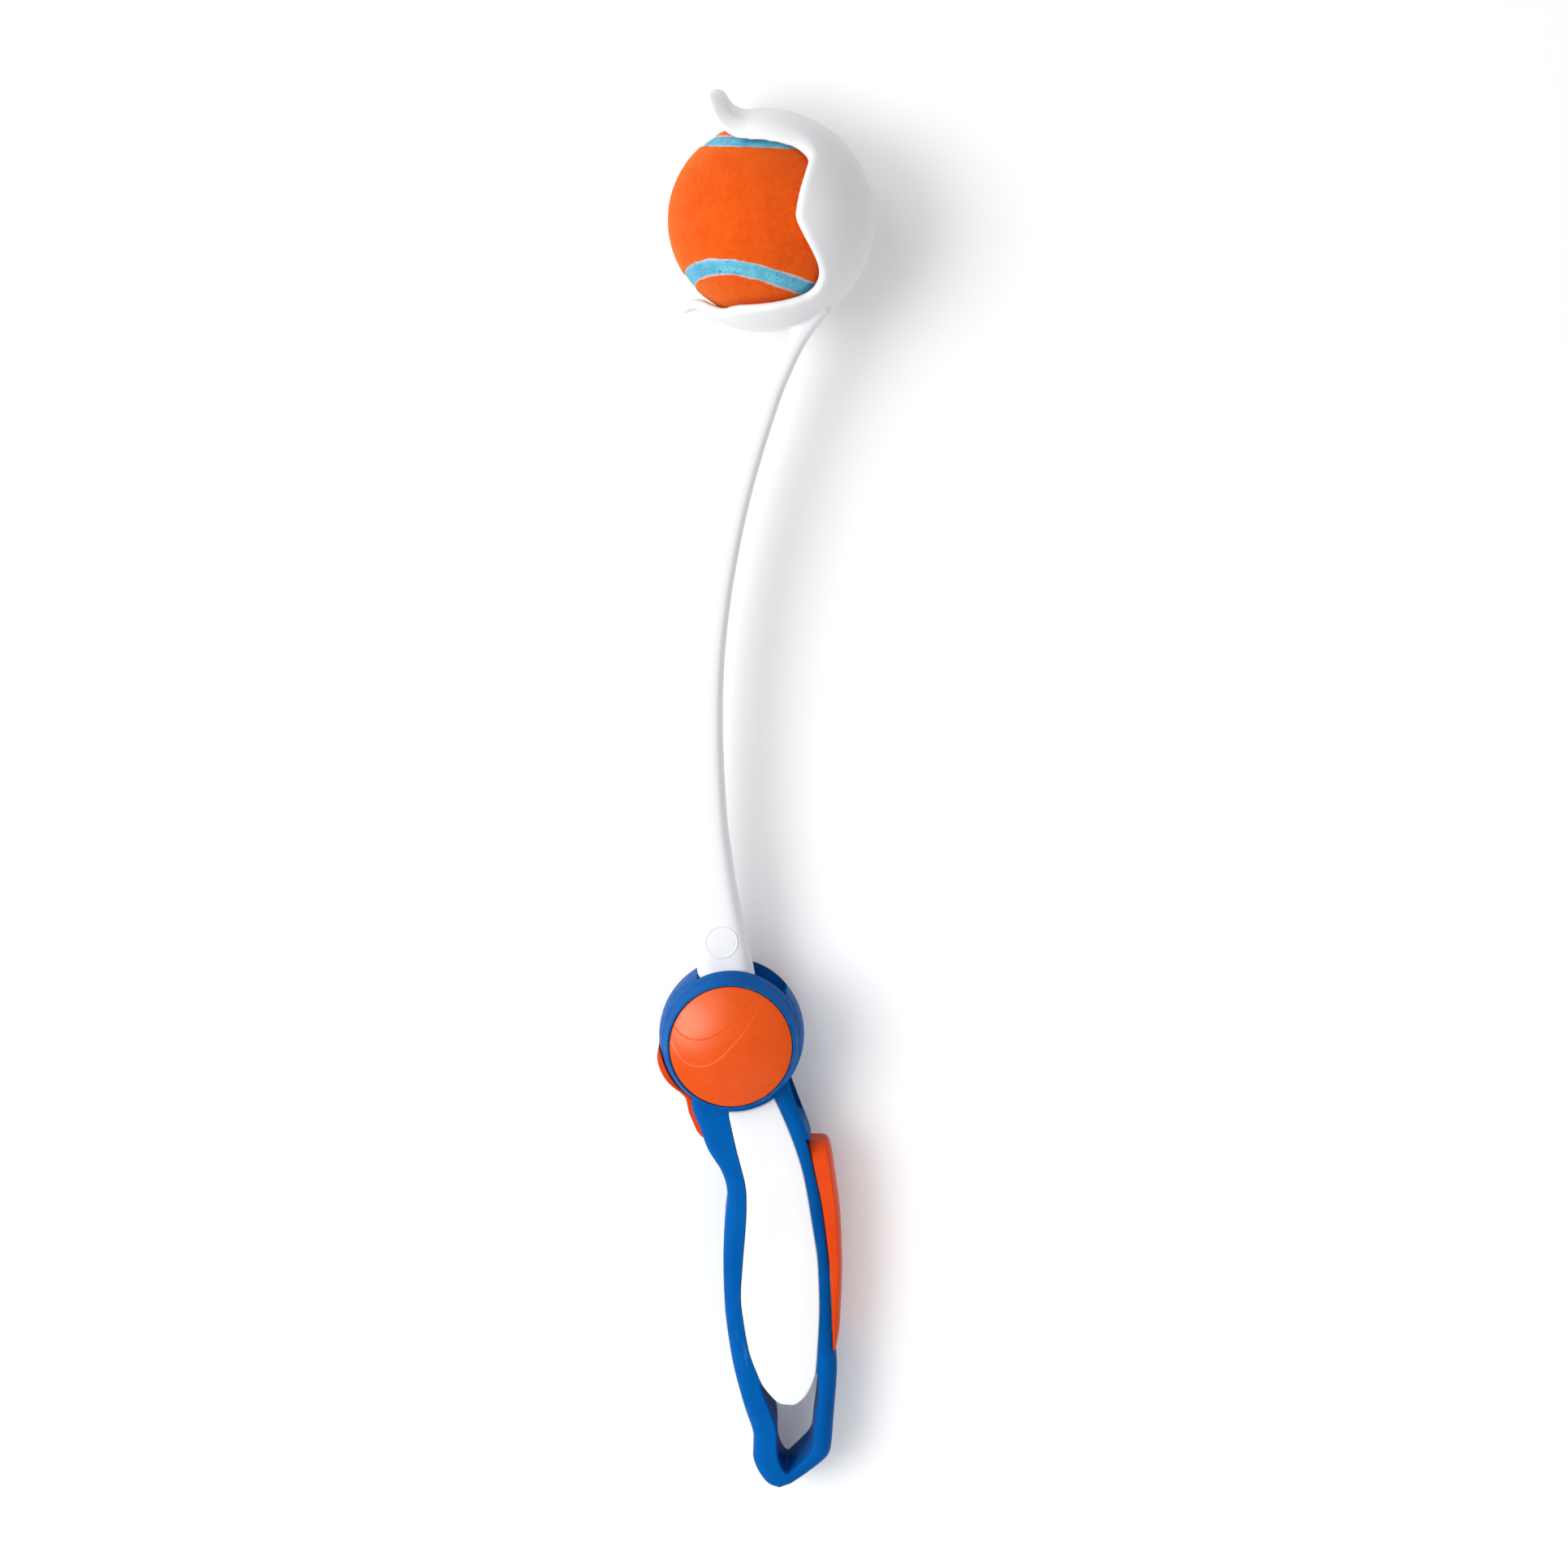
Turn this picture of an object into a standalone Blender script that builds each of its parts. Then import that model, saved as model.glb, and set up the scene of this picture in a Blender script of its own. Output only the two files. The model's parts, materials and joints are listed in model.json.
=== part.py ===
"""A folding dog ball thrower with its ball, lying with the throwing plane flat.

X points from the finger side of the handle to its back, Y from the handle to the ball, and Z up,
out of the front face. Everything is first drawn round the fold axis, and moved at the end so that
the origin is under the middle of the whole thing. Lengths are metres, angles degrees.
"""

import math

import bmesh
import bpy
import numpy as np
from mathutils import Matrix, Vector

# Clearances
GAP = 0.0003
RUN_GAP = 0.0004
OVERRUN = 0.004
WELD = 0.0001

# Ball
BALL_D = 0.064
FELT_T = 0.0022
SEAM_W = 0.0048
SEAM_SINK = 0.0004
CORE_T = 0.0033
SEAM_WAVE_SHARE = 0.174
SEAM_TURN = (-0.946, 2.620, -0.484)

# Cup
CUP_GAP = 0.0011
CUP_WALL = 0.0034
TAB_START = 100
TAB_BEND_R = 0.0080
TAB_TURN = 75
TAB_FILLET = 0.0016
LIP_START = 112
LIP_BEND_R = 0.020
LIP_TURN = 3

# Arm
ARM_SPAN = 0.2252
ARM_OFFSET = 0.0115
ARM_ROOT_BACK = 0.0081
ARM_ROOT_SUNK = 0.0041
ARM_PLAY = 0.0002
STRAP_END_ANGLE = 54
ARM_ROOT_T = 0.0196
ARM_ROOT_FLOOR = 0.0112
EYE_R = 0.0080
EYE_W = 0.0100

# Hub
HUB_R = 0.0249
HUB_EDGE_DRAW = 0.0014
HUB_EDGE_PROUD = 0.0005
HUB_CHEEK_T = 0.0030
WEB_T = 0.0034
BEZEL_DRAW = 0.0019
BEZEL_LIP = 0.0006
BEZEL_STEP = 0.0004
FRONT_BEZEL_PROUD = 0.0075
REAR_BEZEL_PROUD = 0.0047
FRONT_DOME_RISE = 0.0048
REAR_DOME_RISE = 0.0030
CAP_SEAT = 0.0014
CAP_T = 0.0020
HUB_WELL_R = 0.0170
AXLE_R = 0.0040
AXLE_THREAD_R = 0.0030
AXLE_HEAD_R = 0.0070
AXLE_HEAD_T = 0.0016
NUT_R = 0.0070
NUT_T = 0.0030
THREAD_SHOWN = 0.0004
SPRING_WASHER_R = 0.0075
SPRING_WASHER_T = 0.0008
THRUST_R = 0.0090
THRUST_T = 0.0010
POCKET_RIGHT = 0.0164
POCKET_END = 45
POCKET_SLANT = 0.0032

# Fold stop and lock
FOLD_MAX = 130
FOLD_MARGIN = 3
TOOTH_ANGLE = 212
TOOTH_SPREAD = 3
TOOTH_W = 0.0060
TOOTH_DROP = 0.0013
NOTCH_DROP = 0.0014

# Handle
HANDLE_REACH = 0.1601
HANDLE_PAST_HUB = 0.0115
HANDLE_D = 0.0250
HANDLE_ROUND = 0.0040
HANDLE_WALL = 0.0032
LOOP_CHAMFER = 0.0010
PANEL_T = 0.0018
PANEL_PROUD = 0.0004
PANEL_ROUND = 0.0008
ROOF_T = 0.0023
SCREW_R = 0.0015
SCREW_HEAD_R = 0.0028
SCREW_HEAD_T = 0.0015
SCREW_GRIP = 0.0165
BOSS_R = 0.0040

# Lock lever
LEVER_T = 0.0020
LEVER_LIFT = 0.0004
LEVER_W = 0.0130
LEVER_PIVOT_OUT = 0.0036
LEVER_PIVOT_ANGLE = 248.2
LEVER_EAR_R = 0.0022
LEVER_PIN_R = 0.0010
LEVER_PIN_L = 0.0172
LEVER_ROOM = 0.0030
SPRING_R = 0.0015
SPRING_WIRE_R = 0.00035
SPRING_L = 0.0052
SPRING_TURNS = 4

# Belt clip
CLIP_T = 0.0060
CLIP_EDGE_STEP = 0.0011
CLIP_END_R = 0.0078
CLIP_CROWN = 0.0026
CLIP_SKIN = 0.0020
CLIP_BEAD_R = 0.0017
CLIP_BEAD_W = 0.0140
CLIP_BEAD_IN = 0.0031
CLIP_NECK_T = 0.0015
CLIP_SWING_ROOM = 0.0008

# Outline tables: shares of HANDLE_BACK across, and along the handle down to -1 at its end
LEFT_SHARES = (
    (-0.374, -0.050), (-0.376, -0.143), (-0.302, -0.192), (-0.222, -0.242),
    (-0.092, -0.292), (-0.042, -0.340), (-0.069, -0.404), (-0.082, -0.490),
    (-0.069, -0.588), (-0.038, -0.654), (0.014, -0.726), (0.107, -0.809),
    (0.190, -0.867), (0.206, -0.899), (0.198, -0.931), (0.250, -0.963),
    (0.341, -0.990), (0.448, -1.000),
)
RIGHT_SHARES = (
    (0.560, -0.991), (0.706, -0.969), (0.852, -0.943), (0.923, -0.924),
    (0.948, -0.899), (0.967, -0.838), (0.995, -0.752), (0.996, -0.712),
    (0.972, -0.687), (0.964, -0.645), (0.956, -0.592), (0.940, -0.518),
    (0.912, -0.446), (0.868, -0.365), (0.810, -0.294), (0.742, -0.220),
    (0.654, -0.163), (0.560, -0.104), (0.480, -0.040),
)
LOOP_SHARES = (
    (0.813, -0.740), (0.819, -0.785), (0.802, -0.826), (0.780, -0.865),
    (0.769, -0.894), (0.750, -0.909), (0.703, -0.924), (0.560, -0.957),
    (0.527, -0.961), (0.484, -0.952), (0.445, -0.931), (0.431, -0.906),
    (0.431, -0.878), (0.418, -0.853), (0.376, -0.826), (0.310, -0.788),
    (0.280, -0.765), (0.300, -0.757), (0.363, -0.773), (0.451, -0.792),
    (0.538, -0.798), (0.615, -0.795), (0.692, -0.780), (0.750, -0.756),
    (0.785, -0.738),
)
PANEL_SHARES = (
    (0.800, -0.730), (0.816, -0.681), (0.832, -0.606), (0.830, -0.550),
    (0.816, -0.483), (0.791, -0.440), (0.753, -0.385), (0.717, -0.334),
    (0.668, -0.280), (0.593, -0.225), (0.500, -0.171), (0.412, -0.126),
)
PANEL_LEFT_SHARES = (
    (-0.038, -0.151), (0.036, -0.230), (0.124, -0.312), (0.137, -0.356),
    (0.129, -0.407), (0.099, -0.493), (0.082, -0.562), (0.104, -0.615),
    (0.159, -0.686), (0.231, -0.733), (0.286, -0.761), (0.376, -0.788),
    (0.453, -0.803), (0.538, -0.806), (0.604, -0.805), (0.687, -0.790),
    (0.747, -0.768), (0.780, -0.748),
)
SCREW_SHARES = (-0.200, -0.385, -0.560, -0.698)
CAVITY_SHARES = (-0.255, -0.635)

NECK_SHARE = 0.30
NECK_PER_HUB_SHARE = 1.93

# Lever and clip tables: the place along the handle as a share, then the thickness there
LEVER_SHARES = ((-0.166, 0.90), (-0.197, 0.95), (-0.215, 0.75), (-0.228, 0.30))
LEVER_ARC_SHARES = ((196, 0.45), (199, 0.80), (205, 1.00), (215, 1.05), (225, 1.05), (233, 1.10))
LEVER_ROOM_SHARES = (-0.090, -0.235)
SPRING_SHARE = -0.208
CLIP_SHARES = (
    (-0.2295, 0.70), (-0.231, 0.86), (-0.237, 0.97), (-0.247, 1.00), (-0.262, 1.00),
    (-0.279, 0.98), (-0.330, 0.90),
    (-0.382, 0.86), (-0.425, 0.79), (-0.463, 0.72), (-0.520, 0.63), (-0.560, 0.55),
    (-0.595, 0.47), (-0.640, 0.37), (-0.675, 0.24), (-0.694, 0.15),
)
CLIP_PIVOT_SHARE = -0.684
CLIP_POCKET_SHARES = (-0.272, -0.500)
CLIP_SECTION_SHARES = ((0.0, 0.0), (0.38, 0.07), (0.68, 0.26), (0.86, 0.52), (0.97, 0.86))

# Strap's back edge, from the hub to its end on the cup across and along, and its thickness there
ARM_SHARES = (
    (-0.007, 0, 0.99), (-0.101, 0.0506, 0.925), (-0.241, 0.1257, 0.745), (-0.326, 0.1882, 0.645),
    (-0.392, 0.2504, 0.56), (-0.44, 0.3743, 0.47), (-0.403, 0.4969, 0.418), (-0.253, 0.6186, 0.388),
    (-0.012, 0.7393, 0.367), (0.326, 0.8592, 0.347), (0.502, 0.9071, 0.34), (0.657, 0.9427, 0.337),
    (0.832, 0.9733, 0.337), (1, 1, 0.337),
)
# Rim of the cup: angle round the cup's axis from the tab, and how far the shell reaches from its pole
RIM = (
    (0, 123.5), (8, 123.2), (15, 121.8), (21, 118.5), (26, 113.5), (30, 108), (33, 104),
    (36, 100), (38.8, 92), (40.9, 80), (44.2, 71), (51.3, 65.7), (61.3, 67.5), (70, 69.8),
    (80, 72), (89, 72.9), (98, 69), (106, 65), (114, 61.5), (122, 59.3), (129, 59.3),
    (135.5, 62), (138.6, 67), (139.8, 76), (141, 87), (143.5, 99), (148, 107.8),
    (155, 113), (161, 119), (166, 127), (172, 135), (180, 138),
)

# Counts
DRUM_SIDES = 44
BORE_SIDES = 20
SCREW_SIDES = 12
CURVE_STEPS = 2
ROUND_STEPS = 2
CUP_RINGS = 8
SECTION_POINTS = 16
SEAM_STEP = 0.01
FELT_ROWS = 24
FELT_COLUMNS = 8
SPRING_TURN_POINTS = 10

BLUE = (0.012, 0.110, 0.430, 1)
ORANGE = (0.860, 0.095, 0.018, 1)
WHITE = (0.860, 0.870, 0.885, 1)
FELT = (0.880, 0.150, 0.010, 1)
SEAM = (0.110, 0.480, 0.640, 1)
RUBBER = (0.050, 0.050, 0.055, 1)
STEEL = (0.560, 0.570, 0.580, 1)
NYLON = (0.780, 0.770, 0.720, 1)

# Sizes that follow from the ones above
BALL_R = BALL_D / 2
HUB_EDGE_R = HUB_R - HUB_EDGE_DRAW
BEZEL_LIP_R = HUB_EDGE_R - BEZEL_DRAW
CUP_MID_R = BALL_R + CUP_GAP + CUP_WALL / 2
STRAP_END_R = CUP_MID_R + CUP_WALL / 3
STRAP_END_TURN = math.radians(STRAP_END_ANGLE)
ARM_ROOT_Y = ARM_ROOT_FLOOR + GAP
ARM_ROOT_TOP = HUB_R - ARM_ROOT_SUNK
ARM_REACH = ARM_ROOT_TOP + ARM_SPAN + STRAP_END_R * math.sin(STRAP_END_TURN)
BALL_CENTRE = Vector((ARM_OFFSET, ARM_REACH, 0))
BARREL_HALF = HANDLE_D / 2 - HUB_CHEEK_T
ARM_W = 2 * (BARREL_HALF - ARM_PLAY)
CHEEK_Z = BARREL_HALF + GAP
CHAMBER_R = HUB_R + RUN_GAP
HANDLE_HALF = HANDLE_D / 2
HANDLE_BACK = HUB_R + HANDLE_PAST_HUB
HANDLE_NECK = HUB_R * NECK_PER_HUB_SHARE
HUB_EDGE_Z = HANDLE_HALF + HUB_EDGE_PROUD
FRONT_BEZEL_Z = HANDLE_HALF + FRONT_BEZEL_PROUD
REAR_BEZEL_Z = HANDLE_HALF + REAR_BEZEL_PROUD
CLIP_W = HANDLE_D - 2 * CLIP_EDGE_STEP
RECESS_Z = HANDLE_HALF + PANEL_PROUD - PANEL_T - GAP
ROOF_Z = RECESS_Z - ROOF_T
WEB_Z = CHEEK_Z + WEB_T


def polar(angle, radius):
    turn = math.radians(angle)
    return np.array((math.cos(turn), math.sin(turn))) * radius


def arc(start, end, radius, count, centre=(0, 0)):
    return [np.array(centre) + polar(a, radius) for a in np.linspace(start, end, count)]


def along(share):
    """A place along the handle: the neck keeps to the hub, and the rest runs on to the handle's reach."""
    neck = min(-share / NECK_SHARE, 1)
    rest = max(-share - NECK_SHARE, 0) / (1 - NECK_SHARE)
    return -neck * HANDLE_NECK - rest * (HANDLE_REACH - HANDLE_NECK)


def scaled(shares):
    return [np.array((x * HANDLE_BACK, along(y))) for x, y in shares]


def smooth(points, steps, closed=False):
    """A Catmull-Rom curve through the points, with the given number of steps to each."""
    points = [np.asarray(p, float) for p in points]
    count = len(points)
    out = []
    for i in range(count if closed else count - 1):
        if closed:
            a, b, c, d = (points[(i + k) % count] for k in (-1, 0, 1, 2))
        else:
            b, c = points[i], points[i + 1]
            a = points[i - 1] if i else 2 * b - c
            d = points[i + 2] if i + 2 < count else 2 * c - b
        for k in range(steps):
            t = k / steps
            line = (c - a) * t + (2 * a - 5 * b + 4 * c - d) * t**2
            out.append(b + (line + (3 * b - a - 3 * c + d) * t**3) / 2)
    if not closed:
        out.append(points[-1])
    return out


def area(points):
    x, y = np.array(points).T
    return np.sum(x * np.roll(y, -1) - np.roll(x, -1) * y) / 2


def offset(points, distance):
    """The closed outline moved out by distance, or in by a negative one."""
    points = np.array(points)
    before = points - np.roll(points, 1, 0)
    after = np.roll(points, -1, 0) - points
    sign = 1 if area(points) > 0 else -1
    normals = []
    for a, b in zip(before, after):
        a = a / np.linalg.norm(a)
        b = b / np.linalg.norm(b)
        normal = np.array((a[1] + b[1], -a[0] - b[0])) * sign
        length = np.linalg.norm(normal)
        normals.append(normal / length * min(2 / length, 2) if length else normal)
    return [p + n * distance for p, n in zip(points, normals)]


def made(name, bm):
    bmesh.ops.remove_doubles(bm, verts=bm.verts, dist=WELD / 100)
    bmesh.ops.recalc_face_normals(bm, faces=bm.faces)
    mesh = bpy.data.meshes.new(name)
    bm.to_mesh(mesh)
    bm.free()
    obj = bpy.data.objects.new(name, mesh)
    bpy.context.scene.collection.objects.link(obj)
    return obj


def loft(name, rings, capped=True):
    """A solid through rings of as many points each; with capped False the last ring meets the first."""
    bm = bmesh.new()
    loops = [[bm.verts.new(p) for p in ring] for ring in rings]
    pairs = list(zip(loops, loops[1:]))
    if not capped:
        pairs.append((loops[-1], loops[0]))
    for low, high in pairs:
        for i in range(len(low)):
            j = (i + 1) % len(low)
            bm.faces.new((low[i], low[j], high[j], high[i]))
    if capped:
        bm.faces.new(reversed(loops[0]))
        bm.faces.new(loops[-1])
    return made(name, bm)


def prism(name, outline, low, high):
    """The outline, or the outlines of the steps, raised from low to high."""
    return loft(name, [[(x, y, z) for x, y in outline] for z in (low, high)])


def stack(name, steps):
    return loft(name, [[(x, y, z) for x, y in outline] for outline, z in steps])


def turned(name, profile, sides, centre=(0, 0), shut=True):
    """A profile of radius and height turned about Z; shut joins its last point to its first."""
    bm = bmesh.new()
    rings = []
    for radius, height in profile:
        if radius < WELD / 100:
            rings.append([bm.verts.new((centre[0], centre[1], height))])
            continue
        ring = arc(0, 360 - 360 / sides, radius, sides, centre)
        rings.append([bm.verts.new((x, y, height)) for x, y in ring])
    pairs = list(zip(rings, rings[1:]))
    if shut:
        pairs.append((rings[-1], rings[0]))
    for low, high in pairs:
        for i in range(sides):
            j = (i + 1) % sides
            corners = (low[i % len(low)], low[j % len(low)], high[j % len(high)], high[i % len(high)])
            unique = list(dict.fromkeys(corners))
            if len(unique) > 2:
                bm.faces.new(unique)
    return made(name, bm)


def rod(name, radius, low, high, centre=(0, 0), sides=BORE_SIDES):
    return turned(name, [(0, low), (radius, low), (radius, high), (0, high)], sides, centre, shut=False)


def lie_along_x(obj, centre):
    """Turns a rod drawn up Z so that it lies along X, and moves it to centre."""
    obj.data.transform(Matrix.Translation(centre) @ Matrix.Rotation(math.radians(90), 4, "Y"))
    return obj


def boolean(target, tool, operation):
    step = target.modifiers.new(operation.lower(), "BOOLEAN")
    step.operation = operation
    step.object = tool
    graph = bpy.context.evaluated_depsgraph_get()
    mesh = bpy.data.meshes.new_from_object(target.evaluated_get(graph))
    target.modifiers.clear()
    bm = bmesh.new()
    bm.from_mesh(mesh)
    bmesh.ops.remove_doubles(bm, verts=bm.verts, dist=WELD / 50)
    bmesh.ops.dissolve_degenerate(bm, edges=bm.edges, dist=WELD / 50)
    bm.to_mesh(mesh)
    bm.free()
    target.data = mesh
    bpy.data.objects.remove(tool)
    return target


def cut(target, *tools):
    for tool in tools:
        boolean(target, tool, "DIFFERENCE")
    return target


def join(target, *tools):
    for tool in tools:
        boolean(target, tool, "UNION")
    return target


def mirrored(obj):
    """Turns a piece of the front into its like at the rear."""
    obj.data.transform(Matrix.Scale(-1, 4, (0, 0, 1)))
    obj.data.flip_normals()
    return obj


LEFT_CURVE = smooth(scaled(LEFT_SHARES), CURVE_STEPS)
RIGHT_CURVE = smooth(scaled(RIGHT_SHARES), CURVE_STEPS)


def edge_x(curve, y):
    """Where a side of the handle lies at the height y."""
    points = sorted((p[1], p[0]) for p in curve)
    return float(np.interp(y, [p[0] for p in points], [p[1] for p in points]))


def left_x(y):
    return edge_x(LEFT_CURVE, y)


def right_x(y):
    return edge_x(RIGHT_CURVE, y)


LEVER_PIVOT = polar(LEVER_PIVOT_ANGLE, HUB_R + LEVER_PIVOT_OUT)
CLIP_PIVOT = np.array((right_x(along(CLIP_PIVOT_SHARE)) - CLIP_BEAD_IN, along(CLIP_PIVOT_SHARE)))
SCREW_PLACES = [((left_x(along(s)) + right_x(along(s))) / 2, along(s)) for s in SCREW_SHARES]


def inset_at(height):
    """How far the handle's rounded edge has drawn in at a height above the parting plane."""
    over = max(0, height - (HANDLE_HALF - HANDLE_ROUND))
    return HANDLE_ROUND - math.sqrt(HANDLE_ROUND**2 - min(over, HANDLE_ROUND) ** 2)


def rounded_block(name, outline, low, high, radius, steps=ROUND_STEPS):
    layers = [(outline, low)]
    for i in range(steps + 1):
        turn = math.radians(90 * i / steps)
        inset = radius * (1 - math.cos(turn))
        layers.append((offset(outline, -inset), high - radius + radius * math.sin(turn)))
    return stack(name, layers)


def panel_outline(grow):
    """The inlay's outline; its top follows the hub's edge."""
    sides = smooth(scaled(PANEL_LEFT_SHARES) + scaled(PANEL_SHARES), CURVE_STEPS)
    ring = HUB_EDGE_R + BEZEL_STEP + GAP + GAP
    sides = [p for p in offset(sides, grow) if np.linalg.norm(p) > ring - grow]
    first = math.degrees(math.atan2(sides[0][1], sides[0][0]))
    last = math.degrees(math.atan2(sides[-1][1], sides[-1][0]))
    top = arc(last, first, ring - grow, 7)
    return sides + top[:1] + top[1:-1] + top[-1:]


def swept_arm_outline():
    """The room that the folded arm's back edge takes in the handle's neck, on the far side of that edge."""
    turn = Matrix.Rotation(math.radians(-FOLD_MAX - FOLD_MARGIN), 2)
    edge = [(Vector((p[0], p[1]))) for p in ARM_BACK if CHAMBER_R - OVERRUN < np.linalg.norm(p)]
    edge = [turn @ p for p in edge if p.length < 2 * CHAMBER_R + OVERRUN]
    start = math.degrees(math.atan2(edge[0].y, edge[0].x))
    far = polar(-POCKET_END / 3, edge[-1].length)
    near = polar(-POCKET_END / 3, CHAMBER_R - OVERRUN)
    inner = arc(-POCKET_END / 3, start, CHAMBER_R - OVERRUN, 4)
    return [np.array(p) for p in edge] + [far, near] + inner[1:-1]


def arm_rows():
    """The arm's back edge and its thickness, from the root's foot to the strap's end on the cup."""
    across = ARM_OFFSET + STRAP_END_R * math.cos(STRAP_END_TURN) - ARM_ROOT_BACK
    rows = [(ARM_ROOT_BACK, y, ARM_ROOT_T) for y in (ARM_ROOT_Y, (ARM_ROOT_Y + ARM_ROOT_TOP) / 2)]
    for u, v, thick in ARM_SHARES:
        rows.append((ARM_ROOT_BACK + u * across, ARM_ROOT_TOP + v * ARM_SPAN, thick * ARM_ROOT_T))
    return np.array(rows)


ARM_ROWS = arm_rows()
ARM_BACK = ARM_ROWS[:, :2]


def throwing_arm():
    """The strap, its root with the eye on the axle, and the cup, moulded in one."""
    backs = ARM_BACK
    thickness = ARM_ROWS[:, 2]
    tangents = np.gradient(backs, axis=0)
    tangents[0] = tangents[1] = (0, 1)
    rings = []
    for back, tangent, thick in zip(backs, tangents, thickness):
        tangent = tangent / np.linalg.norm(tangent)
        outward = np.array((tangent[1], -tangent[0]))
        middle = back - outward * thick / 2
        ring = []
        for k in range(SECTION_POINTS):
            turn = 2 * math.pi * (k + 0.5) / SECTION_POINTS
            cosine, sine = math.cos(turn), math.sin(turn)
            across = math.copysign(abs(cosine) ** 0.5, cosine) * thick / 2
            up = math.copysign(abs(sine) ** 0.5, sine) * ARM_W / 2
            ring.append((*(middle + outward * across), up))
        rings.append(ring)
    arm = loft("throwing_arm", rings)
    trim = turned("trim", [(0, -CUP_MID_R)] + dome_profile(CUP_MID_R, 24) + [(0, CUP_MID_R)], DRUM_SIDES, shut=False)
    trim.data.transform(Matrix.Translation(BALL_CENTRE))
    cut(arm, trim)
    eye = [(EYE_R, ARM_ROOT_FLOOR + OVERRUN), (-EYE_R, ARM_ROOT_FLOOR + OVERRUN)] + arc(180, 360, EYE_R, 13)
    join(arm, prism("eye", eye, -EYE_W / 2, EYE_W / 2), cup())
    return cut(arm, rod("eye_bore", AXLE_R + GAP, -EYE_W, EYE_W))


def dome_profile(radius, count):
    turns = np.linspace(-90, 90, count + 1)[1:-1]
    return [(radius * math.cos(math.radians(t)), radius * math.sin(math.radians(t))) for t in turns]


def meridian(reach, start, bend_r, turn_limit):
    """A point of the cup's middle surface, and its outward normal, at a reach in degrees from the pole.

    The shell is a sphere to start, then it bends outward by turn_limit, and then it runs straight.
    """
    normal = polar(min(reach, start), 1)
    point = normal * CUP_MID_R
    if reach <= start:
        return point, normal
    rest = math.radians(reach - start) * CUP_MID_R
    bend = min(math.degrees(rest / bend_r), turn_limit)
    after = polar(start - bend, 1)
    point = point + bend_r * (normal - after)
    ahead = np.array((-after[1], after[0]))
    return point + ahead * (rest - bend_r * math.radians(bend)), after


def cup():
    """A thick shell round the ball, cut to the rim: a tab, two side lobes and a lip."""
    half = smooth(RIM, 1)
    rim = half + [np.array((360 - a, r)) for a, r in reversed(half[1:-1])]
    bm = bmesh.new()
    skins = []
    for side in (1, -1):
        pole = bm.verts.new((CUP_MID_R + side * CUP_WALL / 2, 0, 0))
        columns = []
        for angle, reach in rim:
            tab = angle < 90 or angle > 270
            bend = (TAB_START, TAB_BEND_R, TAB_TURN) if tab else (LIP_START, LIP_BEND_R, LIP_TURN)
            turn = math.radians(angle)
            column = [pole]
            for k in range(1, CUP_RINGS + 1):
                share = (k / CUP_RINGS) ** 0.8
                point, normal = meridian(reach * share, *bend)
                past = max(0, reach * share - TAB_START) / (RIM[0][1] - TAB_START)
                extra = TAB_FILLET * math.sin(math.pi * past) if tab and side > 0 else 0
                x, r = point + normal * (side * CUP_WALL / 2 + extra)
                column.append(bm.verts.new((x, r * math.cos(turn), r * math.sin(turn))))
            columns.append(column)
        skins.append(columns)
        for a, b in zip(columns, columns[1:] + columns[:1]):
            bm.faces.new((pole, a[1], b[1]))
            for k in range(1, CUP_RINGS):
                bm.faces.new((a[k], a[k + 1], b[k + 1], b[k]))
    outer, inner = skins
    for i in range(len(rim)):
        j = (i + 1) % len(rim)
        bm.faces.new((outer[i][-1], outer[j][-1], inner[j][-1], inner[i][-1]))
    obj = made("cup", bm)
    obj.data.transform(Matrix.Translation(BALL_CENTRE))
    return obj


def seam_point(turn):
    """A point of the seam's wave round a ball of radius 1."""
    b = SEAM_WAVE_SHARE
    a = 1 - b
    x = a * math.cos(turn) + b * math.cos(3 * turn)
    y = a * math.sin(turn) - b * math.sin(3 * turn)
    return Vector((x, y, 2 * math.sqrt(a * b) * math.sin(2 * turn)))


def ball_turn():
    axis = Vector(SEAM_TURN)
    return Matrix.Translation(BALL_CENTRE) @ Matrix.Rotation(axis.length, 4, axis)


def beside_seam(turn, distance):
    """A point on the ball of radius 1 at a distance to one side of the seam's middle line."""
    here = seam_point(turn)
    ahead = seam_point(turn + SEAM_STEP) - here
    across = here.cross(ahead).normalized()
    return (here + across * distance / BALL_R).normalized()


def felt(name, side):
    """One dumbbell panel of felt, between two stretches of the seam that mirror each other."""
    start = math.pi / 4 + side * math.pi / 2
    margin = (SEAM_W / 2 + GAP) * (2 * side - 1)
    bm = bmesh.new()
    skins = []
    for radius in (BALL_R, BALL_R - FELT_T):
        ends = [bm.verts.new(beside_seam(t, margin) * radius) for t in (start, start + math.pi)]
        rows = []
        for i in range(1, FELT_ROWS):
            turn = start + math.pi * i / FELT_ROWS
            a = beside_seam(turn, margin)
            b = beside_seam(2 * start - turn, margin)
            shares = [k / FELT_COLUMNS for k in range(FELT_COLUMNS + 1)]
            rows.append([bm.verts.new(a.slerp(b, s).normalized() * radius) for s in shares])
        for a, b in zip(rows, rows[1:]):
            for k in range(FELT_COLUMNS):
                bm.faces.new((a[k], a[k + 1], b[k + 1], b[k]))
        for end, row in zip(ends, (rows[0], rows[-1])):
            for k in range(FELT_COLUMNS):
                bm.faces.new((end, row[k], row[k + 1]))
        border = [ends[0]] + [row[0] for row in rows] + [ends[1]]
        skins.append(border + [row[-1] for row in reversed(rows)])
    top, under = skins
    for i in range(len(top)):
        j = (i + 1) % len(top)
        bm.faces.new((top[i], top[j], under[j], under[i]))
    obj = made(name, bm)
    obj.data.transform(ball_turn())
    return obj


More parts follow.
